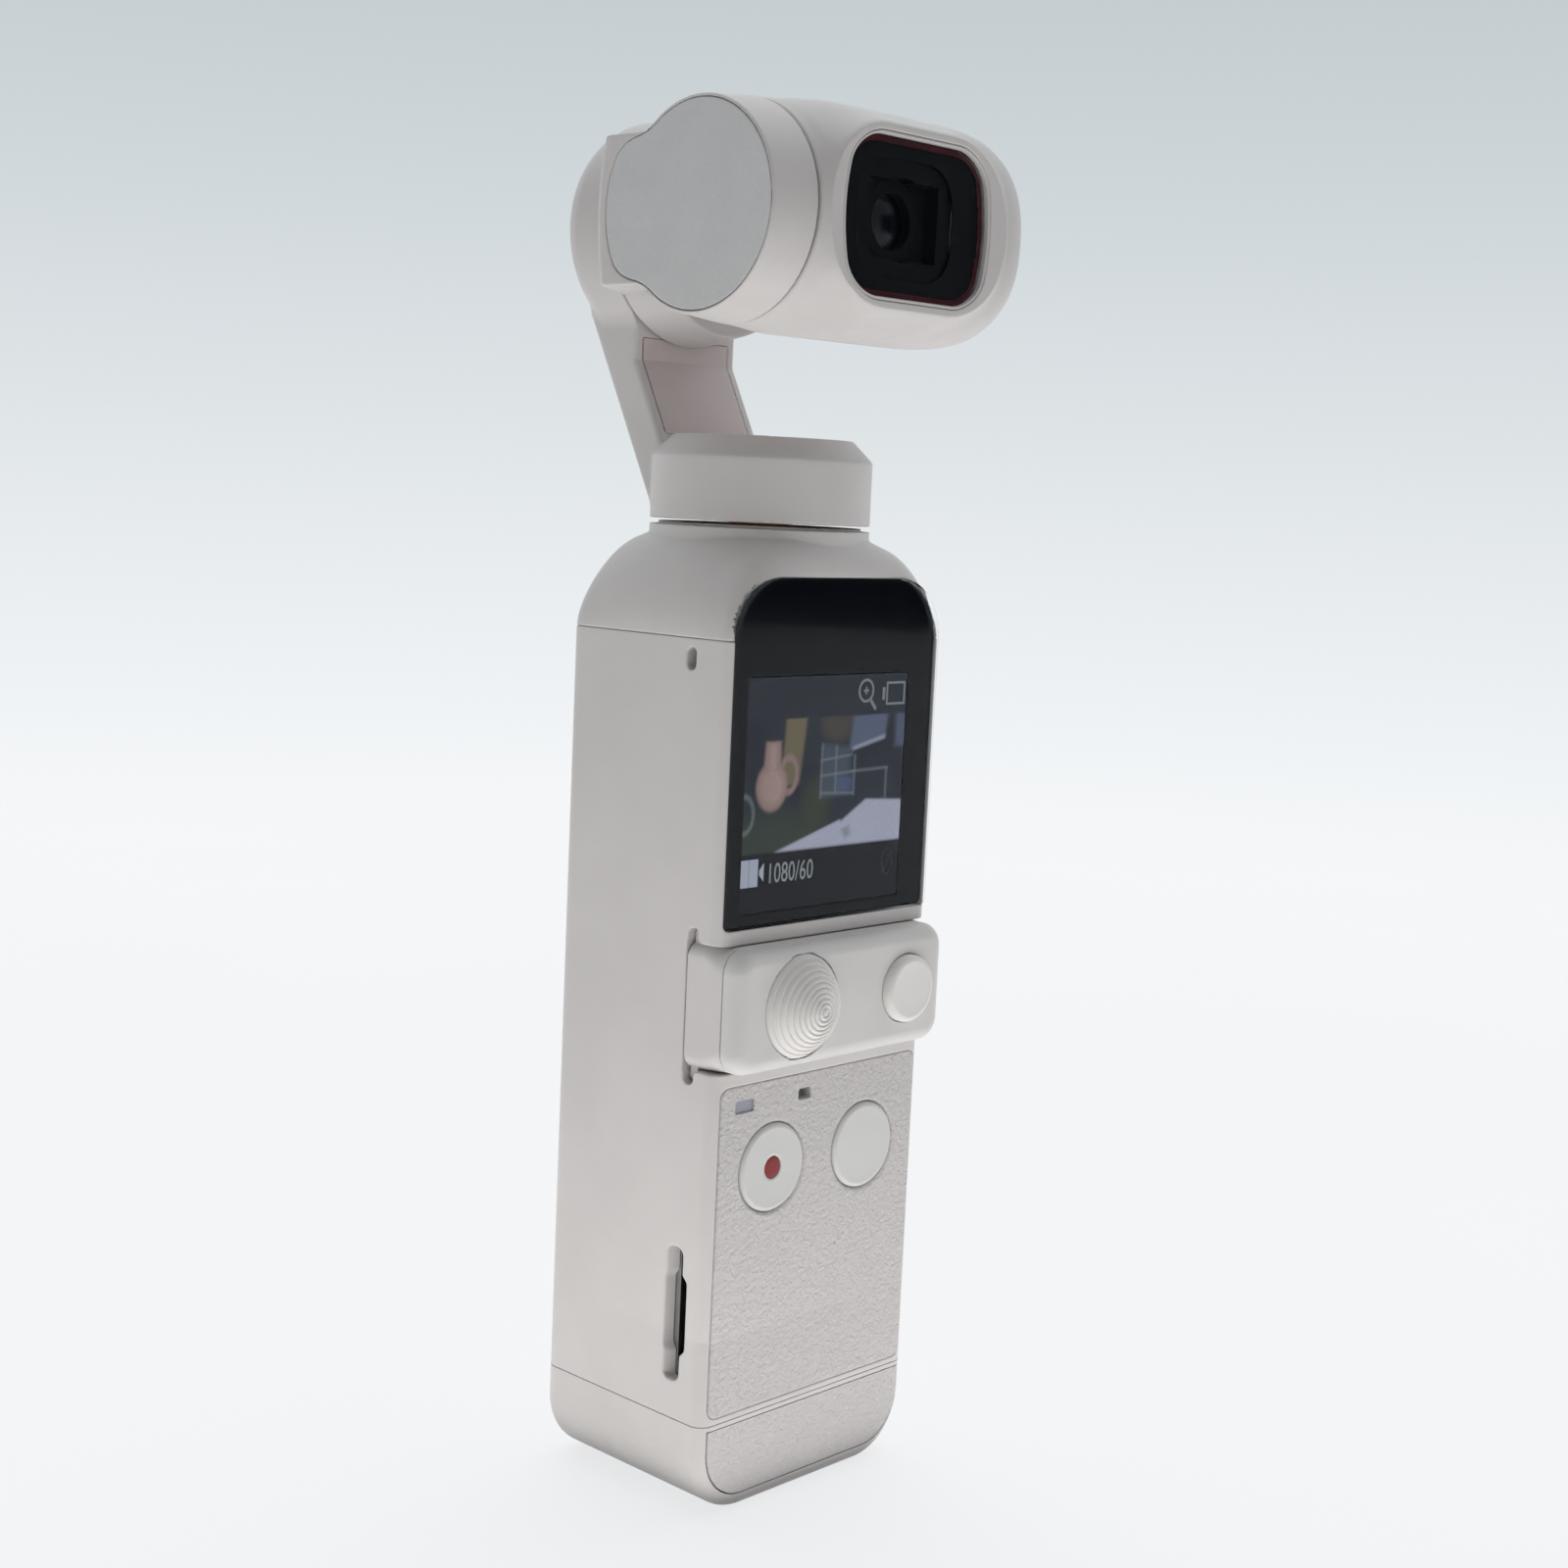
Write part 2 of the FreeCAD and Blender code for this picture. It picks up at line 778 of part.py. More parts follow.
def make_handle_shell():
    """Main housing: a rounded box with the groove, the seats and every opening."""
    outer = prism("shell_outer", "Z", plan(), (size.base_height, SEAM))
    upper = block(
        "shell_upper_room",
        ROOM_ACROSS,
        (LEDGE_BACK, ROOM_BACK),
        (PORT_UNDERCUT[1] + size.handle_wall, SEAM + OPEN),
    )
    middle = block("shell_middle_room", ROOM_ACROSS, (FRAME_FRONT, ROOM_BACK), (FLOOR, SEAM + OPEN))
    lower = block(
        "shell_lower_room", ROOM_ACROSS, (PANEL_WALL_BACK, ROOM_BACK), (FLOOR, PORT_UNDERCUT[0] - size.handle_wall)
    )
    display = block(
        "shell_display_window",
        (DISPLAY_ACROSS[0] - size.slide_gap, DISPLAY_ACROSS[1] + size.slide_gap),
        (FRONT - OPEN, LEDGE_BACK + BEYOND),
        (DISPLAY_UP[0] - size.slide_gap, DISPLAY_UP[1] + size.slide_gap),
    )
    panel = prism("shell_panel_seat", "Y", panel_outline(size.panel_gap), (FRONT - OPEN, PANEL_BACK))
    mouth = block("shell_port_mouth", (-SIDE - OPEN, SIDE + OPEN), (FRONT - OPEN, PORT_BACK), PORT_MOUTH)
    undercut = prism(
        "shell_port_undercut",
        "X",
        rounded((FRONT + size.port_lip, PORT_BACK), PORT_UNDERCUT, size.port_round),
        (-SIDE - OPEN, SIDE + OPEN),
    )
    through = (FRONT - OPEN, PANEL_WALL_BACK + size.slide_gap)
    holes = button_holes("shell_button", size.button_radius + size.button_gap, through)
    socket = prism("shell_socket_hole", "Z", socket_outline(), (size.base_height - BEYOND, FLOOR + BEYOND))
    rails = [
        block(f"shell_rail_{index}", span, about(0, size.rail_length + 2 * size.slide_gap),
              (size.base_height - BEYOND, FLOOR + BEYOND))
        for index, span in enumerate(rail_spans(size.slide_gap))
    ]
    seams = [
        seam_ring("shell_top_seam", (SEAM - size.seam_width, SEAM)),
        seam_ring("shell_foot_seam", (size.base_height, size.base_height + size.seam_width)),
    ]
    hollow = carve(
        "shell_hollow", outer, upper, middle, lower, display, panel, mouth, undercut, socket,
        glass_recess("shell_glass_seat"), light_hole("shell_light_hole", through),
        front_mic_hole("shell_mic_hole", through), *holes, *rails, *seams, *side_slots(),
    )
    bosses = [
        rod(f"shell_boss_{index}", "Y", place, size.boss_radius, (FRAME_BACK, ROOM_BACK + size.handle_wall / 2))
        for index, place in enumerate(screw_places())
    ]
    drills = [
        rod(f"shell_drill_{index}", "Y", place, size.screw_radius, (FRAME_BACK - BEYOND, FRAME_BACK + size.screw_length))
        for index, place in enumerate(screw_places())
    ]
    subpart(carve("handle_shell", join("shell_with_bosses", hollow, *bosses), *drills), "handle_shell")


def make_shoulder_cap():
    """Rounded top of the handle with the round neck that carries the pan motor."""
    outer = prism("shoulder_outer", "Z", rectangle(ACROSS, (FRONT, BACK)), (SEAM, SHOULDER_TOP))
    round_body(
        outer, "shoulder_sides", size.shoulder_corner,
        lambda edge: lies_at(edge, "Z", SHOULDER_TOP) and (lies_at(edge, "X", SIDE) or lies_at(edge, "X", -SIDE)),
    )
    round_body(
        outer, "shoulder_faces", size.handle_corner,
        lambda edge: (lies_at(edge, "Y", FRONT) or lies_at(edge, "Y", BACK)) and not lies_at(edge, "Z", SEAM),
    )
    neck = rod("neck", "Z", PAN_CENTRE, size.neck_radius, (SEAM + size.shoulder_room_height, NECK_TOP))
    lip = rod("neck_lip", "Z", PAN_CENTRE, size.neck_lip_radius, (NECK_TOP, NECK_TOP + size.neck_lip_height))
    low_room = block(
        "shoulder_low_room", ROOM_ACROSS, (LEDGE_BACK, ROOM_BACK), (SEAM - BEYOND, SEAM + size.shoulder_room_height)
    )
    motor_room = rod(
        "shoulder_motor_room", "Z", PAN_CENTRE, size.neck_radius - size.neck_wall,
        (SEAM, NECK_TOP - size.handle_wall),
    )
    tube_hole = rod("neck_tube_hole", "Z", PAN_CENTRE, size.tube_radius, (SEAM, BLOCK_BOTTOM))
    cap = carve(
        "shoulder_cap", join("shoulder_solid", outer, neck, lip), low_room, motor_room, tube_hole,
        glass_recess("shoulder_glass_seat"),
    )
    subpart(cap, "shoulder_cap")


def make_screen():
    """Black glass flush with the front and the square display behind it."""
    glass = prism("screen_glass", "Y", glass_outline(), (FRONT, GLASS_BACK))
    round_body(glass, "glass_edge", size.glass_round, lambda edge: lies_at(edge, "Y", FRONT))
    subpart(glass, "screen_glass")
    subpart(
        block("display_panel", DISPLAY_ACROSS, (GLASS_BACK, GLASS_BACK + size.display_thickness), DISPLAY_UP),
        "display_panel",
    )


def make_front_panel():
    """Leather-grain panel with openings for the light, the microphone and the buttons."""
    plate = prism("panel_plate", "Y", panel_outline(), (FRONT, PANEL_BACK))
    through = (FRONT - BEYOND, PANEL_BACK + BEYOND)
    holes = button_holes("panel_button", size.button_radius + size.button_gap, through)
    subpart(
        carve("front_panel", plate, light_hole("panel_light_hole", through),
              front_mic_hole("panel_mic_hole", through), *holes),
        "front_panel",
    )
    subpart(light_hole("status_light", (FRONT + size.seam_depth, FRONT + size.light_depth)), "status_light")


def make_handle_frame():
    """Inner frame that carries the boards, with its four screws."""
    plate = block("frame_plate", ROOM_ACROSS, (FRAME_FRONT, FRAME_BACK), (FLOOR + size.frame_foot, SEAM - size.frame_head))
    posts = [
        rod(f"frame_post_{key}", "Y", (place, BUTTON_LEVEL), size.button_stem_radius, (KEY_BOARD_BACK, FRAME_FRONT))
        for key, place in button_places().items()
    ]
    holes = [
        rod(f"frame_hole_{index}", "Y", place, size.screw_radius, (FRAME_FRONT - BEYOND, FRAME_BACK + BEYOND))
        for index, place in enumerate(screw_places())
    ]
    subpart(carve("handle_frame", join("frame_solid", plate, *posts), *holes), "handle_frame")
    screws = []
    for index, place in enumerate(screw_places()):
        shank = rod(f"screw_shank_{index}", "Y", place, size.screw_radius,
                    (FRAME_FRONT, FRAME_BACK + size.screw_length - size.fit_gap))
        head = rod(f"screw_head_{index}", "Y", place, size.screw_head_radius,
                   (FRAME_FRONT - size.screw_head_height, FRAME_FRONT))
        screws.append(join(f"frame_screw_{index}", head, shank))
    subpart(group("frame_screws", *screws), "frame_screws")


def make_electronics():
    """Main board with its shield, battery, key board with domes, card reader and microphones."""
    board = block("main_board", about(0, 2 * (SCREW_REACH - size.boss_radius)), (FRAME_BACK, BOARD_BACK),
                  (FLOOR + size.main_board_foot, SEAM - size.main_board_head))
    subpart(board, "main_board")
    shield = block("board_shield", about(0, size.shield_width), (BOARD_BACK, SHIELD_BACK),
                   (SEAM - size.shield_drop - size.shield_length, SEAM - size.shield_drop))
    subpart(shield, "board_shield")
    battery_foot = FLOOR + size.battery_foot
    battery_up = (battery_foot, battery_foot + size.battery_length)
    battery = prism("battery", "Y", rounded(about(0, size.battery_width), battery_up, size.battery_round),
                    (SHIELD_BACK, ROOM_BACK))
    subpart(battery, "battery")
    key_board_top = BUTTON_LEVEL + size.key_board_above
    key_board_reach = SCREW_REACH - size.screw_head_radius - size.key_board_gap
    key_board = block("key_board", about(0, 2 * key_board_reach), (KEY_BOARD_FRONT, KEY_BOARD_BACK),
                      (BUTTON_LEVEL - size.key_board_below, key_board_top))
    subpart(key_board, "key_board")
    domes = [
        taper(f"dome_{key}", "Y", (place, BUTTON_LEVEL), (size.dome_top_radius, size.dome_radius),
              (DOME_FRONT, KEY_BOARD_FRONT))
        for key, place in button_places().items()
    ]
    subpart(group("key_domes", *domes), "key_domes")
    reader_across = (ROOM_ACROSS[0], ROOM_ACROSS[0] + size.card_reader_depth)
    slot_up = about(CARD_LEVEL, size.card_slot_length - 2 * size.card_notch_depth)
    reader = carve(
        "card_reader",
        block("reader_case", reader_across, about(CARD_PLACE, 2 * (FRAME_FRONT - CARD_PLACE)),
              about(CARD_LEVEL, size.card_slot_length)),
        block("reader_slot", (reader_across[0] - BEYOND, reader_across[1] - size.handle_wall),
              about(CARD_PLACE, size.card_thickness), slot_up),
    )
    subpart(reader, "card_reader")
    front_mic = block("front_mic", about(-size.front_mic_place, size.mic_width),
                      (PANEL_WALL_BACK, PANEL_WALL_BACK + size.mic_depth),
                      (key_board_top + size.fit_gap, PORT_UNDERCUT[0] - size.handle_wall))
    side_mic = block("side_mic", (ROOM_ACROSS[0], ROOM_ACROSS[0] + size.mic_depth),
                     about(SIDE_MIC_PLACE, size.mic_height),
                     (SEAM - size.mic_width - size.fit_gap, SEAM - size.fit_gap))
    subpart(group("microphones", front_mic, side_mic), "microphones")


def make_charge_socket():
    """Charging socket: a metal shell with its contact tongue, mouth downwards."""
    top = size.socket_mouth + size.socket_length
    shell = prism("socket_shell", "Z", socket_outline(), (size.socket_mouth, top))
    cavity = prism("socket_cavity", "Z", socket_outline(-size.socket_wall),
                   (size.socket_mouth - BEYOND, size.socket_mouth + size.socket_depth))
    tongue = block("socket_tongue", about(0, size.tongue_width), about(0, size.tongue_thickness),
                   (size.socket_mouth + size.socket_depth - size.tongue_length, top))
    subpart(join("charge_socket", carve("socket_case", shell, cavity), tongue), "charge_socket")


def contact_row(name, span):
    """Row of flat contacts centred in the accessory groove."""
    start = -(size.contact_count - 1) * size.contact_pitch / 2
    up = about(PORT_LEVEL, size.contact_length)
    pads = []
    for index in range(int(size.contact_count.number)):
        across = about(start + index * size.contact_pitch, size.contact_width)
        pads.append(block(f"{name}_{index}", across, span, up))
    return group(name, *pads)


def make_port_contacts():
    """Contacts on the back wall of the accessory groove."""
    subpart(contact_row("port_contacts", (PORT_BACK - size.contact_relief, PORT_BACK)), "port_contacts")


def make_buttons():
    """Record button with its red dot, and power button; each slides into the panel."""
    button_front = FRONT - size.button_proud
    flange_front = PANEL_WALL_BACK + size.fit_gap
    for key, place in button_places().items():
        centre = (place, BUTTON_LEVEL)
        cap = rod(f"{key}_cap", "Y", centre, size.button_radius, (button_front, flange_front + size.fit_gap))
        flange = rod(f"{key}_flange", "Y", centre, size.button_radius + size.button_gap + size.button_flange,
                     (flange_front, flange_front + size.button_flange_height))
        stem = rod(f"{key}_stem", "Y", centre, size.button_stem_radius,
                   (flange_front, DOME_FRONT - size.button_clearance))
        button = join(f"{key}_solid", cap, flange, stem)
        if key == "record":
            seat = rod("record_dot_seat", "Y", centre, size.record_dot_radius,
                       (button_front - BEYOND, button_front + size.record_dot_inset))
            button = carve("record_body", button, seat)
            dot = rod("record_dot", "Y", centre, size.record_dot_radius,
                      (button_front, button_front + size.record_dot_inset))
            subpart(dot, "record_dot")
        subpart(button, f"{key}_button")


def make_base():
    """Detachable base: housing with two rails, its panel and the release latch at the back."""
    up = (0, size.base_height)
    corner = size.base_corner
    outer = prism("base_outer", "Y", rectangle(ACROSS, up, corner, corner), (FRONT, BACK))
    round_body(
        outer, "base_edges", size.handle_corner,
        lambda edge: (lies_at(edge, "Y", FRONT) or lies_at(edge, "Y", BACK))
        and not lies_at(edge, "Z", size.base_height),
    )
    rails = [
        block(f"base_rail_{index}", span, about(0, size.rail_length),
              (size.base_height - size.base_wall, size.base_height + size.rail_height))
        for index, span in enumerate(rail_spans())
    ]
    room = block("base_room", about(0, 2 * (size.rail_place - size.rail_width / 2 - size.fit_gap)),
                 (PANEL_BACK + size.base_wall, BACK - size.base_wall), (size.base_wall, size.base_height + BEYOND))
    socket = prism("base_socket_hole", "Z", socket_outline(size.socket_clearance), (-BEYOND, size.base_height))
    seat = prism("base_panel_seat", "Y", base_panel_outline(size.panel_gap), (FRONT - OPEN, PANEL_BACK))
    latch_level = size.base_height - size.latch_drop
    latch_hole = block("base_latch_hole", about(0, size.latch_width), (BACK - size.base_wall - BEYOND, BACK + BEYOND),
                       about(latch_level, size.latch_height))
    subpart(carve("base_shell", join("base_solid", outer, *rails), room, socket, seat, latch_hole), "base_shell")
    subpart(prism("base_panel", "Y", base_panel_outline(), (FRONT, PANEL_BACK)), "base_panel")
    latch_across = about(0, size.latch_width - 2 * size.slide_gap)
    latch_up = about(latch_level, size.latch_height - 2 * size.slide_gap)
    flange_back = BACK - size.base_wall - size.fit_gap
    key = block("latch_key", latch_across, (flange_back - size.latch_flange, BACK + size.latch_proud), latch_up)
    flange = block(
        "latch_flange", (latch_across[0] - size.latch_flange, latch_across[1] + size.latch_flange),
        (flange_back - size.latch_flange, flange_back),
        (latch_up[0] - size.latch_flange, latch_up[1] + size.latch_flange),
    )
    subpart(join("base_latch", key, flange), "base_latch")


def base_panel_outline(gap=0):
    """Outline of the base's panel, round at its lower corners."""
    half = SIDE - size.panel_margin + gap
    up = (size.base_panel_bottom - gap, size.base_height - size.base_panel_head + gap)
    low = size.base_panel_corner
    return rectangle((-half, half), up, low, low)


def motor(name, axis, centre, face, way, cup_radius, cup_depth):
    """One gimbal motor: stator and bearings on the fixed side, magnets and shaft in the moving cup.

    face is the fixed wall's surface, way is +1 or -1 towards the moving side, and cup_depth is the
    distance from that surface to the floor of the cup.
    """

    def reach(first, last):
        return ordered(face + way * first, face + way * last)

    core_radius = cup_radius - size.magnet_thickness - size.air_gap
    core_end = cup_depth - size.core_end
    tube = rod(f"{name}_tube", axis, centre, size.tube_radius, reach(-size.tube_back, cup_depth - size.tube_front))
    core = rod(f"{name}_core", axis, centre, core_radius, reach(size.core_start, core_end))
    winding = rod(f"{name}_winding", axis, centre, core_radius - size.winding_step,
                  reach(size.core_start - size.winding_overhang, core_end + size.winding_overhang))
    bore = rod(f"{name}_bore", axis, centre, size.bearing_radius, reach(-size.tube_back, cup_depth))
    subpart(carve(f"{name}_stator", join(f"{name}_stator_solid", tube, core, winding), bore), f"{name}_stator")
    hole = size.shaft_radius + size.bearing_gap
    back_end = -size.tube_back
    front_end = cup_depth - size.tube_front
    bearings = group(
        f"{name}_bearings",
        ring(f"{name}_back_bearing", axis, centre, size.bearing_radius, hole,
             reach(back_end, back_end + size.bearing_width)),
        ring(f"{name}_front_bearing", axis, centre, size.bearing_radius, hole,
             reach(front_end - size.bearing_width, front_end)),
    )
    subpart(bearings, f"{name}_bearings")
    magnets = ring(f"{name}_magnets", axis, centre, cup_radius, cup_radius - size.magnet_thickness,
                   reach(size.magnet_start, cup_depth))
    subpart(magnets, f"{name}_magnets")
    shaft = rod(f"{name}_shaft_rod", axis, centre, size.shaft_radius, reach(-size.shaft_back, cup_depth))
    clip = rod(f"{name}_clip", axis, centre, size.clip_radius,
               reach(-size.shaft_back, size.clip_thickness - size.shaft_back))
    subpart(join(f"{name}_shaft", shaft, clip), f"{name}_shaft")


ARM_SLOPE = size.arm_lean / size.arm_bend
ARM_BEND = BLOCK_TOP + size.arm_bend


def arm_line(level, inset):
    """Y place of the leaning arm at a level, at an inset behind its front face."""
    return size.arm_foot + inset + (level - BLOCK_TOP) * ARM_SLOPE


def arm_band(name, width, inset, thickness):
    """Strip that follows the arm's front face at an inset, up to the roll motor housing."""
    behind = inset + thickness
    top = ARM_BEND + size.arm_cover_reach
    corners = [
        (arm_line(BLOCK_TOP, inset), BLOCK_TOP),
        (arm_line(BLOCK_TOP, behind), BLOCK_TOP),
        (ROLL_FACE + behind, ARM_BEND),
        (ROLL_FACE + behind, top),
        (ROLL_FACE + inset, top),
        (ROLL_FACE + inset, ARM_BEND),
    ]
    return prism(name, "X", corners, about(0, width))


def make_gimbal_arm():
    """Pan block, leaning arm and roll motor housing in one piece, with its cover, cable and cap."""
    chamfer_level = BLOCK_TOP - size.block_chamfer
    wall = rod("block_wall", "Z", PAN_CENTRE, size.block_radius, (BLOCK_BOTTOM, chamfer_level))
    crown = taper("block_crown", "Z", PAN_CENTRE, (size.block_radius, size.block_radius - size.block_chamfer),
                  (chamfer_level, BLOCK_TOP))
    low_front = BLOCK_TOP - 2 * size.block_chamfer
    low_back = BLOCK_BOTTOM + size.arm_root
    back_bend = BLOCK_TOP + (ROLL_BACK - size.arm_foot - size.arm_thickness) / ARM_SLOPE
    web = prism("arm_web", "X", [
        (arm_line(low_front, 0), low_front),
        (arm_line(low_back, size.arm_thickness), low_back),
        (ROLL_BACK, back_bend),
        (ROLL_BACK, AXIS_LEVEL),
        (ROLL_FACE, AXIS_LEVEL),
        (ROLL_FACE, ARM_BEND),
    ], about(0, size.arm_width))
    chamfer_place = ROLL_BACK - size.roll_chamfer
    housing = rod("roll_housing", "Y", ROLL_CENTRE, size.roll_radius, (ROLL_FACE, chamfer_place))
    housing_back = taper("roll_housing_back", "Y", ROLL_CENTRE,
                         (size.roll_radius, size.roll_radius - size.roll_chamfer), (chamfer_place, ROLL_BACK))
    cup = rod("block_cup", "Z", PAN_CENTRE, size.block_radius - size.block_wall,
              (BLOCK_BOTTOM - BEYOND, BLOCK_TOP - size.block_wall))
    cap_front = ROLL_BACK - size.roll_cap_thickness
    room = rod("roll_room", "Y", ROLL_CENTRE, size.roll_room_radius, (ROLL_FACE + size.roll_wall, ROLL_BACK))
    cap_seat = rod("roll_cap_seat", "Y", ROLL_CENTRE, size.roll_cap_radius + size.fit_gap,
                   (cap_front, ROLL_BACK + BEYOND))
    tube_hole = rod("roll_tube_hole", "Y", ROLL_CENTRE, size.tube_radius, (ROLL_FACE - BEYOND, ROLL_BACK))
    cover_seat = arm_band("arm_cover_seat", size.arm_cover_width + 2 * size.fit_gap, 0, size.arm_cover_thickness)
    channel = arm_band("arm_channel", size.arm_channel_width, size.arm_cover_thickness, size.arm_channel_depth)
    solid = join("arm_solid", wall, crown, web, housing, housing_back)
    subpart(carve("gimbal_arm", solid, cup, room, cap_seat, tube_hole, cover_seat, channel), "gimbal_arm")
    subpart(arm_band("arm_cover", size.arm_cover_width, 0, size.arm_cover_thickness), "arm_cover")
    cable_width = size.arm_channel_width - 2 * size.slide_gap
    cable = arm_band("arm_cable", cable_width, size.arm_cover_thickness, size.arm_flex_thickness)
    subpart(cable, "arm_cable")
    subpart(rod("roll_cap", "Y", ROLL_CENTRE, size.roll_cap_radius, (cap_front, ROLL_BACK)), "roll_cap")


def cover_outline(name, grow, span):
    """Keyhole plate: a disc with a tab whose end is a wide arc."""
    disc = rod(f"{name}_disc", "X", TILT_CENTRE, size.tilt_face_radius - size.cover_rim + grow, span)
    half = size.tab_half_height - size.cover_rim + grow
    bar = block(f"{name}_bar", span, (-size.tilt_reach, size.tab_reach), (AXIS_LEVEL - half, AXIS_LEVEL + half))
    end_centre = (size.cover_end_shift - size.tilt_reach, AXIS_LEVEL)
    end = rod(f"{name}_end", "X", end_centre, size.cover_end_radius + grow, span)
    return join(name, disc, overlap(f"{name}_tab", bar, end))


def make_roll_bracket():
    """Hub of the roll motor, tab and tilt motor housing in one piece, and its keyhole cover."""
    hub = taper("hub", "Y", ROLL_CENTRE, (size.hub_nose_radius, size.roll_radius), (HUB_FRONT, HUB_BACK))
    tab_up = about(AXIS_LEVEL, 2 * size.tab_half_height)
    tab_back = size.tab_reach - size.tilt_reach
    tab_front = -size.tilt_reach
    tab_span = (TILT_OUTER, -size.tab_root)
    tab = prism("bracket_tab", "Z", [
        (TILT_OUTER, tab_front),
        (TILT_FACE, tab_front),
        (TILT_FACE, HUB_FRONT),
        (tab_span[1], HUB_FRONT),
        (tab_span[1], HUB_BACK),
        (TILT_OUTER, tab_back),
    ], tab_up)
    housing = taper("tilt_housing", "X", TILT_CENTRE, (size.tilt_face_radius, size.tilt_radius),
                    (TILT_OUTER, TILT_FACE))
    solid = join("bracket_solid", hub, tab, housing)
    sweep = rod("head_sweep", "X", TILT_CENTRE, size.head_sweep, (TILT_FACE, size.camera_right + OPEN))
    cup = rod("hub_cup", "Y", ROLL_CENTRE, size.roll_cup_radius, (HUB_FRONT + size.hub_wall, HUB_BACK + BEYOND))
    seat_floor = TILT_OUTER + size.cover_thickness
    seat = cover_outline("cover_seat", size.fit_gap, (TILT_OUTER - BEYOND, seat_floor))
    room = rod("tilt_room", "X", TILT_CENTRE, size.tilt_room_radius, (TILT_OUTER, TILT_FACE - size.tilt_wall))
    tube_hole = rod("tilt_tube_hole", "X", TILT_CENTRE, size.tube_radius, (TILT_OUTER, TILT_FACE + BEYOND))
    subpart(carve("roll_bracket", solid, sweep, cup, seat, room, tube_hole), "roll_bracket")
    subpart(cover_outline("tilt_cover", 0, (TILT_OUTER, seat_floor)), "tilt_cover")


def window_outline(grow):
    """Outline of the camera window, grown by a rim."""
    across = about(size.window_shift, size.window_width + 2 * grow)
    up = about(AXIS_LEVEL, size.window_height + 2 * grow)
    return rounded(across, up, size.window_corner + grow)


def make_camera_shell():
    """Camera head: a barrel on the tilt axis that turns square towards the front."""
    right = size.camera_right
    barrel = rod("camera_barrel", "X", TILT_CENTRE, size.camera_radius, (CAMERA_LEFT, right))
    front_left = CAMERA_LEFT + size.camera_collar
    corner = size.camera_corner
    front = prism(
        "camera_front", "X",
        rectangle((CAMERA_FRONT, -size.tilt_reach), about(AXIS_LEVEL, 2 * size.camera_radius), corner, None, None, corner),
        (front_left, right),
    )
    round_body(
        front, "camera_left_end", size.camera_left_round,
        lambda edge: lies_at(edge, "X", front_left) and not lies_at(edge, "Y", -size.tilt_reach),
    )
    solid = join("camera_solid", barrel, front)
    solid = soften("camera_right_end", solid, size.camera_end_round, lambda edge: lies_at(edge, "X", right))
    front_back = CAMERA_FRONT + size.window_rim_depth + size.window_ledge
    inner = size.camera_radius - size.camera_wall
    cup = rod("camera_cup", "X", TILT_CENTRE, size.camera_cup_radius, (CAMERA_LEFT - BEYOND, CAMERA_CUP_FLOOR))
    cap_left = right - size.end_cap_thickness
    room = rod("camera_room", "X", TILT_CENTRE, inner, (CAMERA_ROOM_LEFT, cap_left - size.camera_end_wall))
    nose = block("camera_nose", (CAMERA_ROOM_LEFT, right - size.camera_end_round - size.camera_wall),
                 (front_back, -size.tilt_reach), about(AXIS_LEVEL, 2 * inner - size.camera_corner))
    frame_seat = prism("window_frame_seat", "Y", window_outline(size.window_rim),
                       (CAMERA_FRONT - BEYOND, CAMERA_FRONT + size.window_rim_depth))
    aperture = block("window_aperture", about(-size.lens_shift, size.baffle_width + 2 * size.slide_gap),
                     (CAMERA_FRONT, front_back + BEYOND), about(AXIS_LEVEL, size.baffle_height + 2 * size.slide_gap))
    cap_seat = rod("camera_cap_seat", "X", TILT_CENTRE, size.end_cap_radius + size.fit_gap, (cap_left, right + BEYOND))
    subpart(carve("camera_shell", solid, cup, room, nose, frame_seat, aperture, cap_seat), "camera_shell")
    subpart(rod("camera_end_cap", "X", TILT_CENTRE, size.end_cap_radius, (cap_left, right)), "camera_end_cap")


def make_window():
    """Rim, dark glass and inner mask of the camera window."""
    seat_back = CAMERA_FRONT + size.window_rim_depth
    glass_front = CAMERA_FRONT + size.window_sink
    glass_back = glass_front + size.window_thickness
    frame = carve(
        "window_frame",
        prism("frame_outer", "Y", window_outline(size.window_rim - size.fit_gap), (CAMERA_FRONT, seat_back)),
        prism("frame_inner", "Y", window_outline(size.fit_gap), (CAMERA_FRONT - BEYOND, seat_back + BEYOND)),
    )
    subpart(frame, "window_frame")
    subpart(prism("window_glass", "Y", window_outline(0), (glass_front, glass_back)), "window_glass")
    mask = carve(
        "window_mask",
        prism("mask_plate", "Y", window_outline(0), (glass_back, seat_back)),
        block("mask_opening", about(-size.lens_shift, size.baffle_width),
              (glass_back - BEYOND, seat_back + BEYOND), about(AXIS_LEVEL, size.baffle_height)),
    )
    subpart(mask, "window_mask")


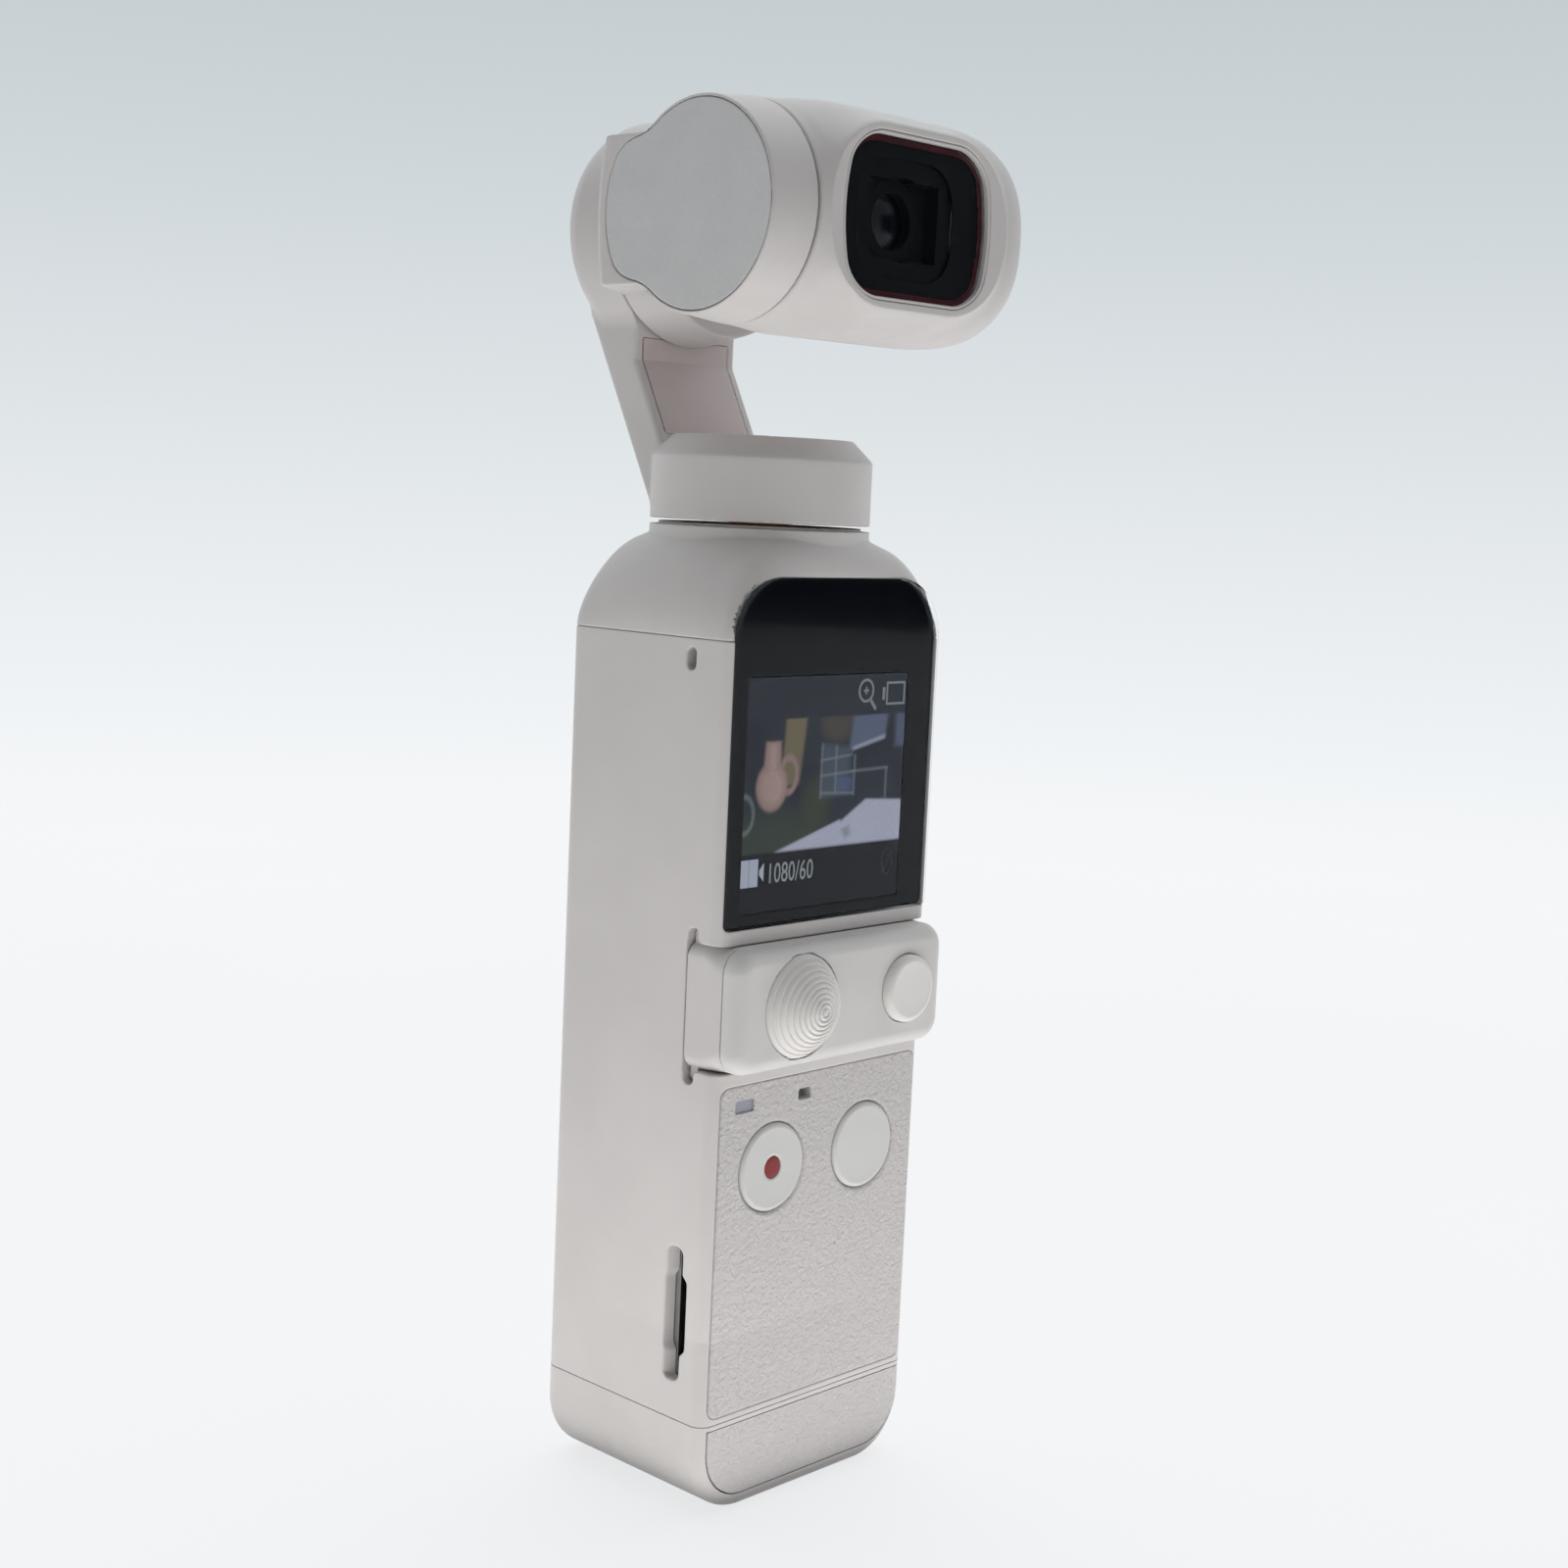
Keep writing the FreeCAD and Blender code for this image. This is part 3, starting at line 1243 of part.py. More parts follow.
def make_camera_optics():
    """Lens housing on the sensor board, barrel with its lenses, and the image sensor."""
    housing_front = CAMERA_FRONT + size.lens_front
    board_front = CAMERA_FRONT + size.sensor_place
    board_back = board_front + size.board_thickness
    centre = (-size.lens_shift, AXIS_LEVEL)
    across = about(-size.lens_shift, size.baffle_width)
    up = about(AXIS_LEVEL, size.baffle_height)
    hood_back = housing_front + size.hood_depth
    hood = block("hood", about(-size.lens_shift, size.baffle_opening_width),
                 (housing_front - BEYOND, hood_back), about(AXIS_LEVEL, size.baffle_opening_height))
    sensor_front = board_front - size.sensor_thickness
    foot_front = sensor_front - size.sensor_clearance
    bore = rod("housing_bore", "Y", centre, size.barrel_radius + size.fit_gap, (housing_front, foot_front))
    foot = block("housing_foot", about(-size.lens_shift, size.sensor_width + 2 * size.slide_gap),
                 (foot_front, board_front), about(AXIS_LEVEL, size.sensor_height + 2 * size.slide_gap))
    housing = carve("lens_housing", block("housing_block", across, (housing_front, board_front), up), hood, bore, foot)
    subpart(housing, "lens_housing")
    barrel = rod("barrel_body", "Y", centre, size.barrel_radius, (hood_back, foot_front))
    barrel_bore = rod("barrel_bore", "Y", centre, size.lens_radius, (hood_back - BEYOND, foot_front + BEYOND))
    subpart(carve("lens_barrel", barrel, barrel_bore), "lens_barrel")
    lenses = []
    for index in range(int(size.lens_count.number)):
        lens_front = hood_back + size.barrel_lip + index * size.lens_pitch
        disc = rod(f"lens_disc_{index}", "Y", centre, size.lens_radius, (lens_front, lens_front + size.lens_thickness))
        dome_centre = (centre[0], lens_front + size.lens_curve, centre[1])
        dome = ball(f"lens_dome_{index}", dome_centre, size.lens_curve)
        lenses.append(overlap(f"lens_{index}", disc, dome))
    subpart(group("lens_elements", *lenses), "lens_elements")
    sensor = block("image_sensor", about(-size.lens_shift, size.sensor_width), (sensor_front, board_front),
                   about(AXIS_LEVEL, size.sensor_height))
    subpart(sensor, "image_sensor")
    half = root((size.camera_radius - size.camera_wall) * (size.camera_radius - size.camera_wall)
                - (board_front + size.tilt_reach) * (board_front + size.tilt_reach)) - size.fit_gap
    board = block("sensor_board", (CAMERA_ROOM_LEFT, CAMERA_ROOM_LEFT + size.sensor_board_width),
                  (board_front, board_back), (AXIS_LEVEL - half, AXIS_LEVEL + half))
    subpart(board, "sensor_board")


def make_module_case():
    """Slide-in control module: rail part in the groove, front shell, board and contacts."""
    split = FRONT - size.module_split
    corner = size.module_corner
    across = (-SIDE + size.fit_gap, SIDE - size.fit_gap)
    flange = prism(
        "rail_flange", "X",
        rounded((RAIL_FRONT, RAIL_BACK), RAIL_UP, size.port_round - size.slide_gap),
        (-SIDE + size.rail_inset, SIDE - size.rail_inset),
    )
    neck = prism("rail_neck", "Y", rounded(across, MODULE_UP, corner), (split, RAIL_BACK))
    room_across = (across[0] + size.module_wall, across[1] - size.module_wall)
    room_up = (MODULE_UP[0] + size.module_wall, MODULE_UP[1] - size.module_wall)
    room_back = RAIL_BACK - size.module_floor
    pocket = prism("rail_pocket", "Y", rounded(room_across, room_up, corner - size.module_wall), (split - BEYOND, room_back))
    rail_relief = rod("rail_stick_relief", "Y", STICK_CENTRE, size.stick_relief_radius,
                      (split - BEYOND, split + size.stick_relief_depth))
    subpart(carve("module_rail", join("rail_solid", flange, neck), pocket, rail_relief), "module_rail")
    shell = prism("module_outer", "Y", rounded(across, MODULE_UP, corner), (MODULE_FRONT, split))
    round_body(shell, "module_edge", size.module_round, lambda edge: lies_at(edge, "Y", MODULE_FRONT))
    room = prism("module_room", "Y", rounded(room_across, room_up, corner - size.module_wall),
                 (MODULE_FRONT + size.module_wall, split + BEYOND))
    socket = ball("stick_opening", STICK_PIVOT, size.stick_sphere + size.stick_gap)
    mode_hole = rod("mode_hole", "Y", MODE_CENTRE, size.mode_radius + size.mode_gap,
                    (MODULE_FRONT - BEYOND, MODULE_FRONT + OPEN))
    subpart(carve("module_shell", shell, room, socket, mode_hole), "module_shell")
    board = block("module_board", about(0, size.module_board_width), (room_back - size.board_thickness, room_back),
                  about(PORT_LEVEL, size.module_board_height))
    subpart(board, "module_board")
    subpart(contact_row("module_contacts", (RAIL_BACK, RAIL_BACK + size.contact_relief)), "module_contacts")


STICK_PIVOT = (-size.stick_place, MODULE_FRONT + size.stick_pivot, PORT_LEVEL)
STICK_CENTRE = (-size.stick_place, PORT_LEVEL)
MODE_CENTRE = (size.mode_place, PORT_LEVEL)
MODULE_BOARD_FRONT = RAIL_BACK - size.module_floor - size.board_thickness


def make_thumbstick():
    """Thumbstick: stepped round cap on a stem, held by a rocker ring in a base cup."""
    pivot = STICK_PIVOT[1]
    skirt = MODULE_FRONT + size.stick_skirt
    depth = size.stick_pivot - size.stick_skirt
    widest = root(size.stick_sphere * size.stick_sphere - depth * depth)
    steps = []
    count = int(size.stick_ring_count.number)
    for index in range(1, count + 1):
        radius = widest * index / size.stick_ring_count
        front = pivot - root(size.stick_sphere * size.stick_sphere - radius * radius)
        steps.append(rod(f"stick_step_{index}", "Y", STICK_CENTRE, radius, (front, skirt + size.stick_rim)))
    stem = rod("stick_stem", "Y", STICK_CENTRE, size.stick_stem_radius, (skirt, pivot + size.stick_stem_drop))
    inner = size.rocker_radius - size.rocker_wall
    reach = size.rocker_radius - size.fit_gap
    place = (STICK_PIVOT[0], pivot)
    cross_pin = rod("stick_pin", "Z", place, size.pivot_pin_radius, (PORT_LEVEL - reach, PORT_LEVEL + reach))
    hollow = rod("stick_hollow", "Y", STICK_CENTRE, widest - size.stick_rim, (skirt, skirt + OPEN))
    cap = carve("stick_cap_shell", join("stick_cap_steps", *steps), hollow)
    subpart(join("stick_cap", cap, stem, cross_pin), "stick_cap")
    up = (pivot - size.rocker_height / 2, pivot + size.rocker_height / 2)
    rocker = ring("rocker_ring", "Y", STICK_CENTRE, size.rocker_radius, inner, up)
    pin_hole = rod("rocker_hole", "Z", place, size.pivot_pin_radius + size.fit_gap,
                   about(PORT_LEVEL, 2 * size.rocker_radius + OPEN))
    base_inner = size.stick_base_radius - size.stick_base_wall
    pins = [
        rod(f"rocker_pin_{index}", "X", (pivot, PORT_LEVEL), size.pivot_pin_radius,
            ordered(STICK_PIVOT[0] + sign * (inner + size.rocker_wall / 2),
                    STICK_PIVOT[0] + sign * (size.stick_base_radius - size.slide_gap)))
        for index, sign in enumerate((-1, 1))
    ]
    subpart(join("stick_rocker", carve("rocker_drilled", rocker, pin_hole), *pins), "stick_rocker")
    cup_front = pivot - size.pivot_pin_radius - size.slide_gap
    cup = rod("stick_cup", "Y", STICK_CENTRE, size.stick_base_radius, (cup_front, MODULE_BOARD_FRONT))
    cup_room = rod("stick_cup_room", "Y", STICK_CENTRE, base_inner,
                   (cup_front - BEYOND, MODULE_BOARD_FRONT - size.stick_base_wall))
    pin_slot = rod("stick_cup_holes", "X", (pivot, PORT_LEVEL), size.pivot_pin_radius + size.fit_gap,
                   about(STICK_PIVOT[0], 2 * size.stick_base_radius + OPEN))
    subpart(carve("stick_base", cup, cup_room, pin_slot), "stick_base")


def make_mode_button():
    """Round button beside the thumbstick, with the switch that it presses."""
    flange_front = MODULE_FRONT + size.module_wall + size.fit_gap
    front = MODULE_FRONT - size.mode_proud
    face = rod("mode_face", "Y", MODE_CENTRE, size.mode_radius, (front, flange_front + size.mode_flange))
    softened = soften("mode_round_face", face, size.mode_round, lambda edge: lies_at(edge, "Y", front))
    flange = rod("mode_flange", "Y", MODE_CENTRE, size.mode_radius + size.mode_flange,
                 (flange_front, flange_front + size.mode_flange))
    stem = rod("mode_stem", "Y", MODE_CENTRE, size.button_stem_radius,
               (flange_front, MODULE_BOARD_FRONT - size.mode_travel_gap))
    subpart(join("mode_button", softened, flange, stem), "mode_button")
    switch = rod("mode_switch_body", "Y", MODE_CENTRE, size.mode_switch_radius,
                 (MODULE_BOARD_FRONT - size.mode_switch_height, MODULE_BOARD_FRONT))
    subpart(switch, "mode_switch")


def make_motors():
    """Pan, roll and tilt motors."""
    motor("pan", "Z", PAN_CENTRE, NECK_TOP, 1, size.block_radius - size.block_wall,
          BLOCK_TOP - size.block_wall - NECK_TOP)
    motor("roll", "Y", ROLL_CENTRE, ROLL_FACE, -1, size.roll_cup_radius, ROLL_FACE - HUB_FRONT - size.hub_wall)
    motor("tilt", "X", TILT_CENTRE, TILT_FACE, 1, size.camera_cup_radius, CAMERA_CUP_FLOOR - TILT_FACE)


def check_and_export():
    """Stop on any failed object or bad shape, then write one file for each sub-part."""
    doc.recompute()
    broken = [item.Name for item in doc.Objects if "Invalid" in item.State or "Error" in item.State]
    if broken:
        raise RuntimeError(f"failed objects: {broken}")
    for item in SUBPARTS:
        if item.Shape.isNull() or not item.Shape.isValid() or not item.Shape.Solids:
            raise RuntimeError(f"bad shape: {item.Label}")
    for item in SUBPARTS:
        item.Shape.exportStep(f"parts/{item.Label}.step")
        print(f"{item.Label}: {len(item.Shape.Solids)} solid, {item.Shape.Volume:.1f} mm3")
    print(f"{len(SUBPARTS)} sub-parts")


make_handle_shell()
make_shoulder_cap()
make_screen()
make_front_panel()
make_handle_frame()
make_electronics()
make_charge_socket()
make_port_contacts()
make_buttons()
make_base()
make_module_case()
make_thumbstick()
make_mode_button()
make_gimbal_arm()
make_roll_bracket()
make_camera_shell()
make_window()
make_camera_optics()
make_motors()
check_and_export()
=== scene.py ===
import itertools
import json
import math

import bpy
import numpy as np
from mathutils import Matrix, Vector

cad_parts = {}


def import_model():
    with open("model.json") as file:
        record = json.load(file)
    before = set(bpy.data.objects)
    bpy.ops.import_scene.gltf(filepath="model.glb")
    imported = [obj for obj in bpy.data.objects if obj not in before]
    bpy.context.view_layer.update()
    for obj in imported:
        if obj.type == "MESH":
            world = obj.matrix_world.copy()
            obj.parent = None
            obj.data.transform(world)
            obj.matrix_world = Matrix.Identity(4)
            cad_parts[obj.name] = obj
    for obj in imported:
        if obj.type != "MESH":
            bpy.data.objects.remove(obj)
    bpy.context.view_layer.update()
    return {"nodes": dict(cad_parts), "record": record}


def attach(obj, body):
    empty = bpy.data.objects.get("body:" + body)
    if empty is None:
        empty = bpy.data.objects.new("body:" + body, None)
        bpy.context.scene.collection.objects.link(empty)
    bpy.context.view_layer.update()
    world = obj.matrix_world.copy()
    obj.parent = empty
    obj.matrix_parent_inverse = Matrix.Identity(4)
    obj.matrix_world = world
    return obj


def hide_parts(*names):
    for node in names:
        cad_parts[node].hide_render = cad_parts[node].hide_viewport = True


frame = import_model()
NODES = frame["nodes"]
SLOT_OF = {row["node"]: row["material_slot"] for row in frame["record"]["subparts"]}
BODY_OF = {}
for body, members in frame["record"]["behaviour"]["bodies"].items():
    for member in members:
        BODY_OF[member] = body

# Lengths below are in millimetres and turned into metres when a mesh or a material is made.
MM = 0.001

# Handle: half width, front and back faces, corner radius, levels.
SIDE = 13.8
FRONT = -10.6
BACK = 10.6
CORNER = 1.5
BASE_TOP = 8.8
SEAM = 78.8
SHOULDER_TOP = 87.5
SHOULDER_ROUND = 5.8
NECK_TOP = 88.35
NECK_RADIUS = 10.1
LIP_RADIUS = 9.3
PANEL_LEVEL = 24.525
PANEL_BACK = -9.5
BUTTON_LEVEL = 31.5
BUTTON_X = 6.05
BUTTON_HOLE = 4.1
BUTTON_EDGE = 4.06
DOT_RADIUS = 1.05
LIGHT_X = -9.9
MIC_X = -2.2
HOLES_LEVEL = 37.7
SLOT_LEVEL = 18.5
SLOT_INNER = -12.3
ROOM_BACK = 9.3

# Screen: glass, its layers from front to back, and the display behind it.
GLASS_FOOT = 53.65
GLASS_TOP = 84.3
GLASS_HALF = 13.2
GLASS_BACK = -9.7
GLASS_INNER = -9.96
SYMBOL_FRONT = -9.85
DISPLAY_X = (-11.05, 9.75)
DISPLAY_LEVELS = (54.8, 75.6)
PICTURE_LEVELS = (60.1, 71.85)

# Control module and its groove.
MODULE_LEVEL = 46.6
MODULE_HALF = 13.75
MODULE_RISE = 5.6
MODULE_FRONT = -13.0
MODULE_SEAM = -10.95
MODULE_CORNER = 2.2
RAIL_FLOOR = -7.5
MODE_X = 8.3
STICK_X = -5.6
STICK_PIVOT = MODULE_FRONT + 2.9
STICK_BALL = 5.41
STICK_RINGS = 11
RING_REACH = 4.66
RING_DEPTH = 0.17

# Motor axes: pan at (0, PAN_Y), roll along y and tilt along x at AXIS_LEVEL.
AXIS_LEVEL = 115.1
PAN_Y = 0.5
TILT_Y = -6.6

# Arm: pan block, lean of the arm and roll motor housing.
BLOCK_TOP = 96.5
LEAN_TOP = 103.2
LEAN = 3.5 / 6.7
ARM_FOOT_Y = 7.7
ARM_FRONT = 11.2
ARM_BACK = 17.7
ROLL_RADIUS = 10.45

# Roll bracket: outer and inner faces across, front of the hub and its back.
BRACKET_OUT = -16.5
BRACKET_IN = -11.6
HUB_FRONT = 5.8
HUB_BACK = 11.0
HUB_RADIUS = 9.5
COVER_FLOOR = -15.9

# Camera head.
CAMERA_FRONT = -16.7
CAMERA_END = 18.28
WINDOW_X = 0.4
PANE_FRONT = -16.25
BORDER_FRONT = -15.8
BORDER_BACK = -15.62


# Distance fields

def place_of(p, level=0.0):
    """Coordinates of points, with heights counted from a level."""
    return p[..., 0], p[..., 1], p[..., 2] - level


def meet(a, b, r):
    """Intersection of two fields with an edge rounded to r."""
    return np.minimum(-r, np.maximum(a, b)) + np.hypot(np.maximum(r + a, 0), np.maximum(r + b, 0))


def blend(a, b, r):
    """Union of two fields with a hollow of radius r between them."""
    return np.maximum(r, np.minimum(a, b)) - np.hypot(np.maximum(r - a, 0), np.maximum(r - b, 0))


def cut(a, b, r):
    """Field a without field b, the new edge rounded to r."""
    return meet(a, -b, r)


def carve(a, *voids):
    """Field a without other fields, with sharp edges."""
    for void in voids:
        a = np.maximum(a, -void)
    return a


def ramp(value, first, last):
    """Smooth step from 0 at first to 1 at last."""
    t = np.clip((value - first) / (last - first), 0, 1)
    return t * t * (3 - 2 * t)


def slab(value, span):
    """Between two parallel planes."""
    return np.abs(value - (span[0] + span[1]) / 2) - (span[1] - span[0]) / 2


def panel(u, v, half_u, half_v, corner):
    """Rounded rectangle about the origin of a plane."""
    du = np.abs(u) - half_u + corner
    dv = np.abs(v) - half_v + corner
    return np.minimum(np.maximum(du, dv), 0) + np.hypot(np.maximum(du, 0), np.maximum(dv, 0)) - corner


def crate(p, x, y, z):
    """Box from three spans."""
    return np.maximum(np.maximum(slab(p[..., 0], x), slab(p[..., 1], y)), slab(p[..., 2], z))


def tube(u, v, along, radius, span):
    """Cylinder about the origin of the (u, v) plane."""
    return np.maximum(np.hypot(u, v) - radius, slab(along, span))


# Meshes

def levels(*spans):
    """Grid planes from (first, last, step) runs that follow one another."""
    planes = []
    for first, last, step in spans:
        count = max(1, int(round((last - first) / step)))
        planes.extend(np.linspace(first, last, count + 1)[:-1])
    planes.append(spans[-1][1])
    return np.array(planes)


def slope(field, p, h=0.01):
    """Gradient of a field by central differences."""
    g = np.empty_like(p)
    for axis in range(3):
        step = np.zeros(3)
        step[axis] = h
        g[:, axis] = (field(p + step) - field(p - step)) / (2 * h)
    return g


def crossings(d, axes, cells):
    """Mean of the points where the edges of each cell cross the surface."""
    summed = np.zeros((len(cells), 3))
    hits = np.zeros(len(cells))
    for axis in range(3):
        others = [a for a in range(3) if a != axis]
        for offset in itertools.product((0, 1), repeat=2):
            start = cells.copy()
            start[:, others] += offset
            end = start.copy()
            end[:, axis] += 1
            d0 = d[tuple(start.T)]
            d1 = d[tuple(end.T)]
            crossed = (d0 < 0) != (d1 < 0)
            t = np.where(crossed, d0 / np.where(crossed, d0 - d1, 1), 0)
            point = np.stack([axes[a][start[:, a]] for a in range(3)], 1)
            point[:, axis] += t * (axes[axis][end[:, axis]] - axes[axis][start[:, axis]])
            summed += point * crossed[:, None]
            hits += crossed
    return summed / hits[:, None]


def surface(field, x, y, z):
    """Vertices, quads and normals of the zero surface of a field, on a grid of planes."""
    axes = (x, y, z)
    d = field(np.stack(np.meshgrid(*axes, indexing="ij"), -1))
    d = np.where(d == 0, 1e-9, d)
    inside = d < 0
    shape = [n - 1 for n in d.shape]
    total = np.zeros(shape, np.int8)
    for i, j, k in itertools.product((0, 1), repeat=3):
        total += inside[i:shape[0] + i, j:shape[1] + j, k:shape[2] + k]
    cells = np.argwhere((total > 0) & (total < 8))
    number = np.full(shape, -1, np.int64)
    number[tuple(cells.T)] = np.arange(len(cells))
    points = crossings(d, axes, cells)
    quads = []
    for axis in range(3):
        low = [slice(1, -1)] * 3
        high = [slice(1, -1)] * 3
        low[axis] = slice(0, -1)
        high[axis] = slice(1, None)
        first = inside[tuple(low)]
        edges = np.argwhere(first != inside[tuple(high)])
        ring = []
        for offset in ((0, 0), (1, 0), (1, 1), (0, 1)):
            cell = edges.copy()
            cell[:, [(axis + 1) % 3, (axis + 2) % 3]] += offset
            ring.append(number[tuple(cell.T)])
        quad = np.stack(ring, 1)
        inward = ~first[tuple(edges.T)]
        quad[inward] = quad[inward][:, ::-1]
        quads.append(quad)
    for _ in range(4):
        g = slope(field, points)
        square = np.maximum((g * g).sum(1), 1e-6)
        move = (field(points) / square)[:, None] * g
        reach = np.linalg.norm(move, axis=1)
        move *= (np.minimum(reach, 0.2) / np.maximum(reach, 1e-12))[:, None]
        points = points - move
    normals = slope(field, points)
    normals /= np.maximum(np.linalg.norm(normals, axis=1), 1e-9)[:, None]
    return points, np.concatenate(quads), normals


def add_mesh(name, points, faces, normals=None, smooth=True):
    """Mesh object from points in millimetres."""
    mesh = bpy.data.meshes.new(name)
    mesh.from_pydata((np.asarray(points) * MM).tolist(), [], [list(map(int, f)) for f in faces])
    mesh.validate()
    mesh.polygons.foreach_set("use_smooth", [smooth] * len(mesh.polygons))
    if normals is not None and len(mesh.vertices) == len(normals):
        mesh.normals_split_custom_set_from_vertices(np.asarray(normals).tolist())
    mesh.update()
    item = bpy.data.objects.new(name, mesh)
    bpy.context.scene.collection.objects.link(item)
    return item


def settle(item, slot_name, body, *nodes):
    """Give a new piece its finish and body, and let it stand for CAD nodes."""
    item.data.materials.clear()
    item.data.materials.append(finish_of(slot_name))
    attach(item, body)
    if nodes:
        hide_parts(*nodes)
    return item


def formed(name, field, grid, slot_name, body, *nodes):
    """New piece from a distance field."""
    points, quads, normals = surface(field, *grid)
    return settle(add_mesh(name, points, quads, normals), slot_name, body, *nodes)


def moulded(node, field, x, y, z):
    """New shape for a CAD node from a distance field."""
    return formed(f"{node}_moulded", field, (x, y, z), SLOT_OF[node], BODY_OF[node], node)


def lathe(axis, centre, profile, segments):
    """Turned solid. The profile is (radius, place) pairs from the axis round to the axis."""
    u_axis, v_axis, w_axis = {"X": (1, 2, 0), "Y": (2, 0, 1), "Z": (0, 1, 2)}[axis]
    angles = np.linspace(0, 2 * math.pi, segments, endpoint=False)
    points, rows, faces = [], [], []
    for radius, place in profile:
        row = []
        for angle in angles[:1] if radius < 1e-6 else angles:
            point = [0.0, 0.0, 0.0]
            point[u_axis] = centre[0] + radius * math.cos(angle)
            point[v_axis] = centre[1] + radius * math.sin(angle)
            point[w_axis] = place
            row.append(len(points))
            points.append(point)
        rows.append(row)
    for low, high in zip(rows, rows[1:]):
        for i in range(segments):
            j = (i + 1) % segments
            ring = (low[i % len(low)], low[j % len(low)], high[j % len(high)], high[i % len(high)])
            faces.append(tuple(dict.fromkeys(ring)))
    return points, faces


def turned(node, *parts):
    """New shape for a CAD node from turned solids: axis, centre, profile and segments of each."""
    points, faces = [], []
    for axis, centre, profile, segments in parts:
        more, rings = lathe(axis, centre, profile, segments)
        sense = 1 if profile[0][1] < profile[-1][1] else -1
        faces += [tuple(len(points) + i for i in face[::sense]) for face in rings]
        points += more
    return settle(add_mesh(f"{node}_turned", points, faces), SLOT_OF[node], BODY_OF[node], node)


# Materials

def linear(r, g, b):
    """Screen colour 0 to 255 as a linear colour."""
    out = []
    for value in (r, g, b):
        value /= 255
        out.append(value / 12.92 if value <= 0.04045 else ((value + 0.055) / 1.055) ** 2.4)
    return (*out, 1.0)


def shade(colour, factor):
    """A colour made lighter or darker."""
    return (min(1, colour[0] * factor), min(1, colour[1] * factor), min(1, colour[2] * factor), 1.0)


class Nodes:
    """Short hand for building a node tree."""

    def __init__(self, owner, kind):
        owner.use_nodes = True
        self.tree = owner.node_tree
        self.tree.nodes.clear()
        self.output = self.node(kind)
        self.place = self.node("ShaderNodeTexCoord")

    def node(self, kind, **values):
        made = self.tree.nodes.new(kind)
        for key, value in values.items():
            if hasattr(made, key):
                setattr(made, key, value)
            else:
                made.inputs[key.replace("_", " ")].default_value = value
        return made

    def join(self, a, out, b, into):
        self.tree.links.new(a.outputs[out], b.inputs[into])

    def spread(self, source, out, low, high, first=0.3, last=0.7, **values):
        """Map a node's value to a range."""
        made = self.node(
            "ShaderNodeMapRange", From_Min=first, From_Max=last, To_Min=low, To_Max=high, **values,
        )
        self.join(source, out, made, "Value")
        return made

    def tint(self, factor, out, first, last):
        """Colour between two by a factor."""
        made = self.node("ShaderNodeMix", data_type="RGBA")
        made.inputs[6].default_value = first
        made.inputs[7].default_value = last
        self.join(factor, out, made, 0)
        return made

    def times(self, a, out_a, b, out_b):
        """Product of two colours."""
        made = self.node("ShaderNodeMix", data_type="RGBA", blend_type="MULTIPLY")
        made.inputs[0].default_value = 1.0
        self.join(a, out_a, made, 6)
        self.join(b, out_b, made, 7)
        return made

    def either(self, share, out, first, second):
        """One shader or the other by a share."""
        made = self.node("ShaderNodeMixShader")
        self.join(share, out, made, 0)
        self.join(first, 0, made, 1)
        self.join(second, 0, made, 2)
        return made

    def seen(self):
        """1 for rays that look at the backdrop: from the camera, off gloss and through glass."""
        path = self.node("ShaderNodeLightPath")
        made = (path, "Is Camera Ray")
        for kind in ("Is Glossy Ray", "Is Transmission Ray"):
            both = self.node("ShaderNodeMath", operation="MAXIMUM")
            self.join(*made, both, 0)
            self.join(path, kind, both, 1)
            made = (both, 0)
        return both


class Recipe(Nodes):
    """One material round a principled shader."""

    def __init__(self, name):
        self.material = bpy.data.materials.new(name)
        super().__init__(self.material, "ShaderNodeOutputMaterial")
        self.shader = self.node("ShaderNodeBsdfPrincipled")
        self.join(self.shader, 0, self.output, "Surface")

    def set(self, **values):
        for key, value in values.items():
            self.shader.inputs[key.replace("_", " ")].default_value = value

    def noise(self, grain, detail=2.0, roughness=0.5, stretch=None):
        """Noise with features of about grain millimetres."""
        made = self.node("ShaderNodeTexNoise", Scale=1 / (grain * MM), Detail=detail, Roughness=roughness)
        source = (self.place, "Object")
        if stretch is not None:
            mapping = self.node("ShaderNodeMapping", Scale=stretch)
            self.join(*source, mapping, "Vector")
            source = (mapping, "Vector")
        self.join(*source, made, "Vector")
        return made

    def vary(self, source, colour, low, high, first=0.3, last=0.7):
        """Colour that wanders between a darker and a lighter shade."""
        share = self.spread(source, "Fac", 0, 1, first, last)
        return self.tint(share, "Result", shade(colour, low), shade(colour, high))

    def bump(self, height, out, depth, strength=1.0, under=None):
        """Bump of depth millimetres, over an earlier normal if one is given."""
        made = self.node("ShaderNodeBump", Strength=strength, Distance=depth * MM)
        self.join(height, out, made, "Height")
        if under is not None:
            self.join(under, "Normal", made, "Normal")
        return made

    def finish(self, colour=None, normal=None, into="Base Color"):
        """Feed a mixed colour and a normal to the shader."""
        if colour is not None:
            self.join(colour, 2, self.shader, into)
        if normal is not None:
            self.join(normal, "Normal", self.shader, "Normal")

    def rough(self, source, out, low, high, first=0.3, last=0.7):
        """Let the roughness wander between two values."""
        self.join(self.spread(source, out, low, high, first, last), "Result", self.shader, "Roughness")


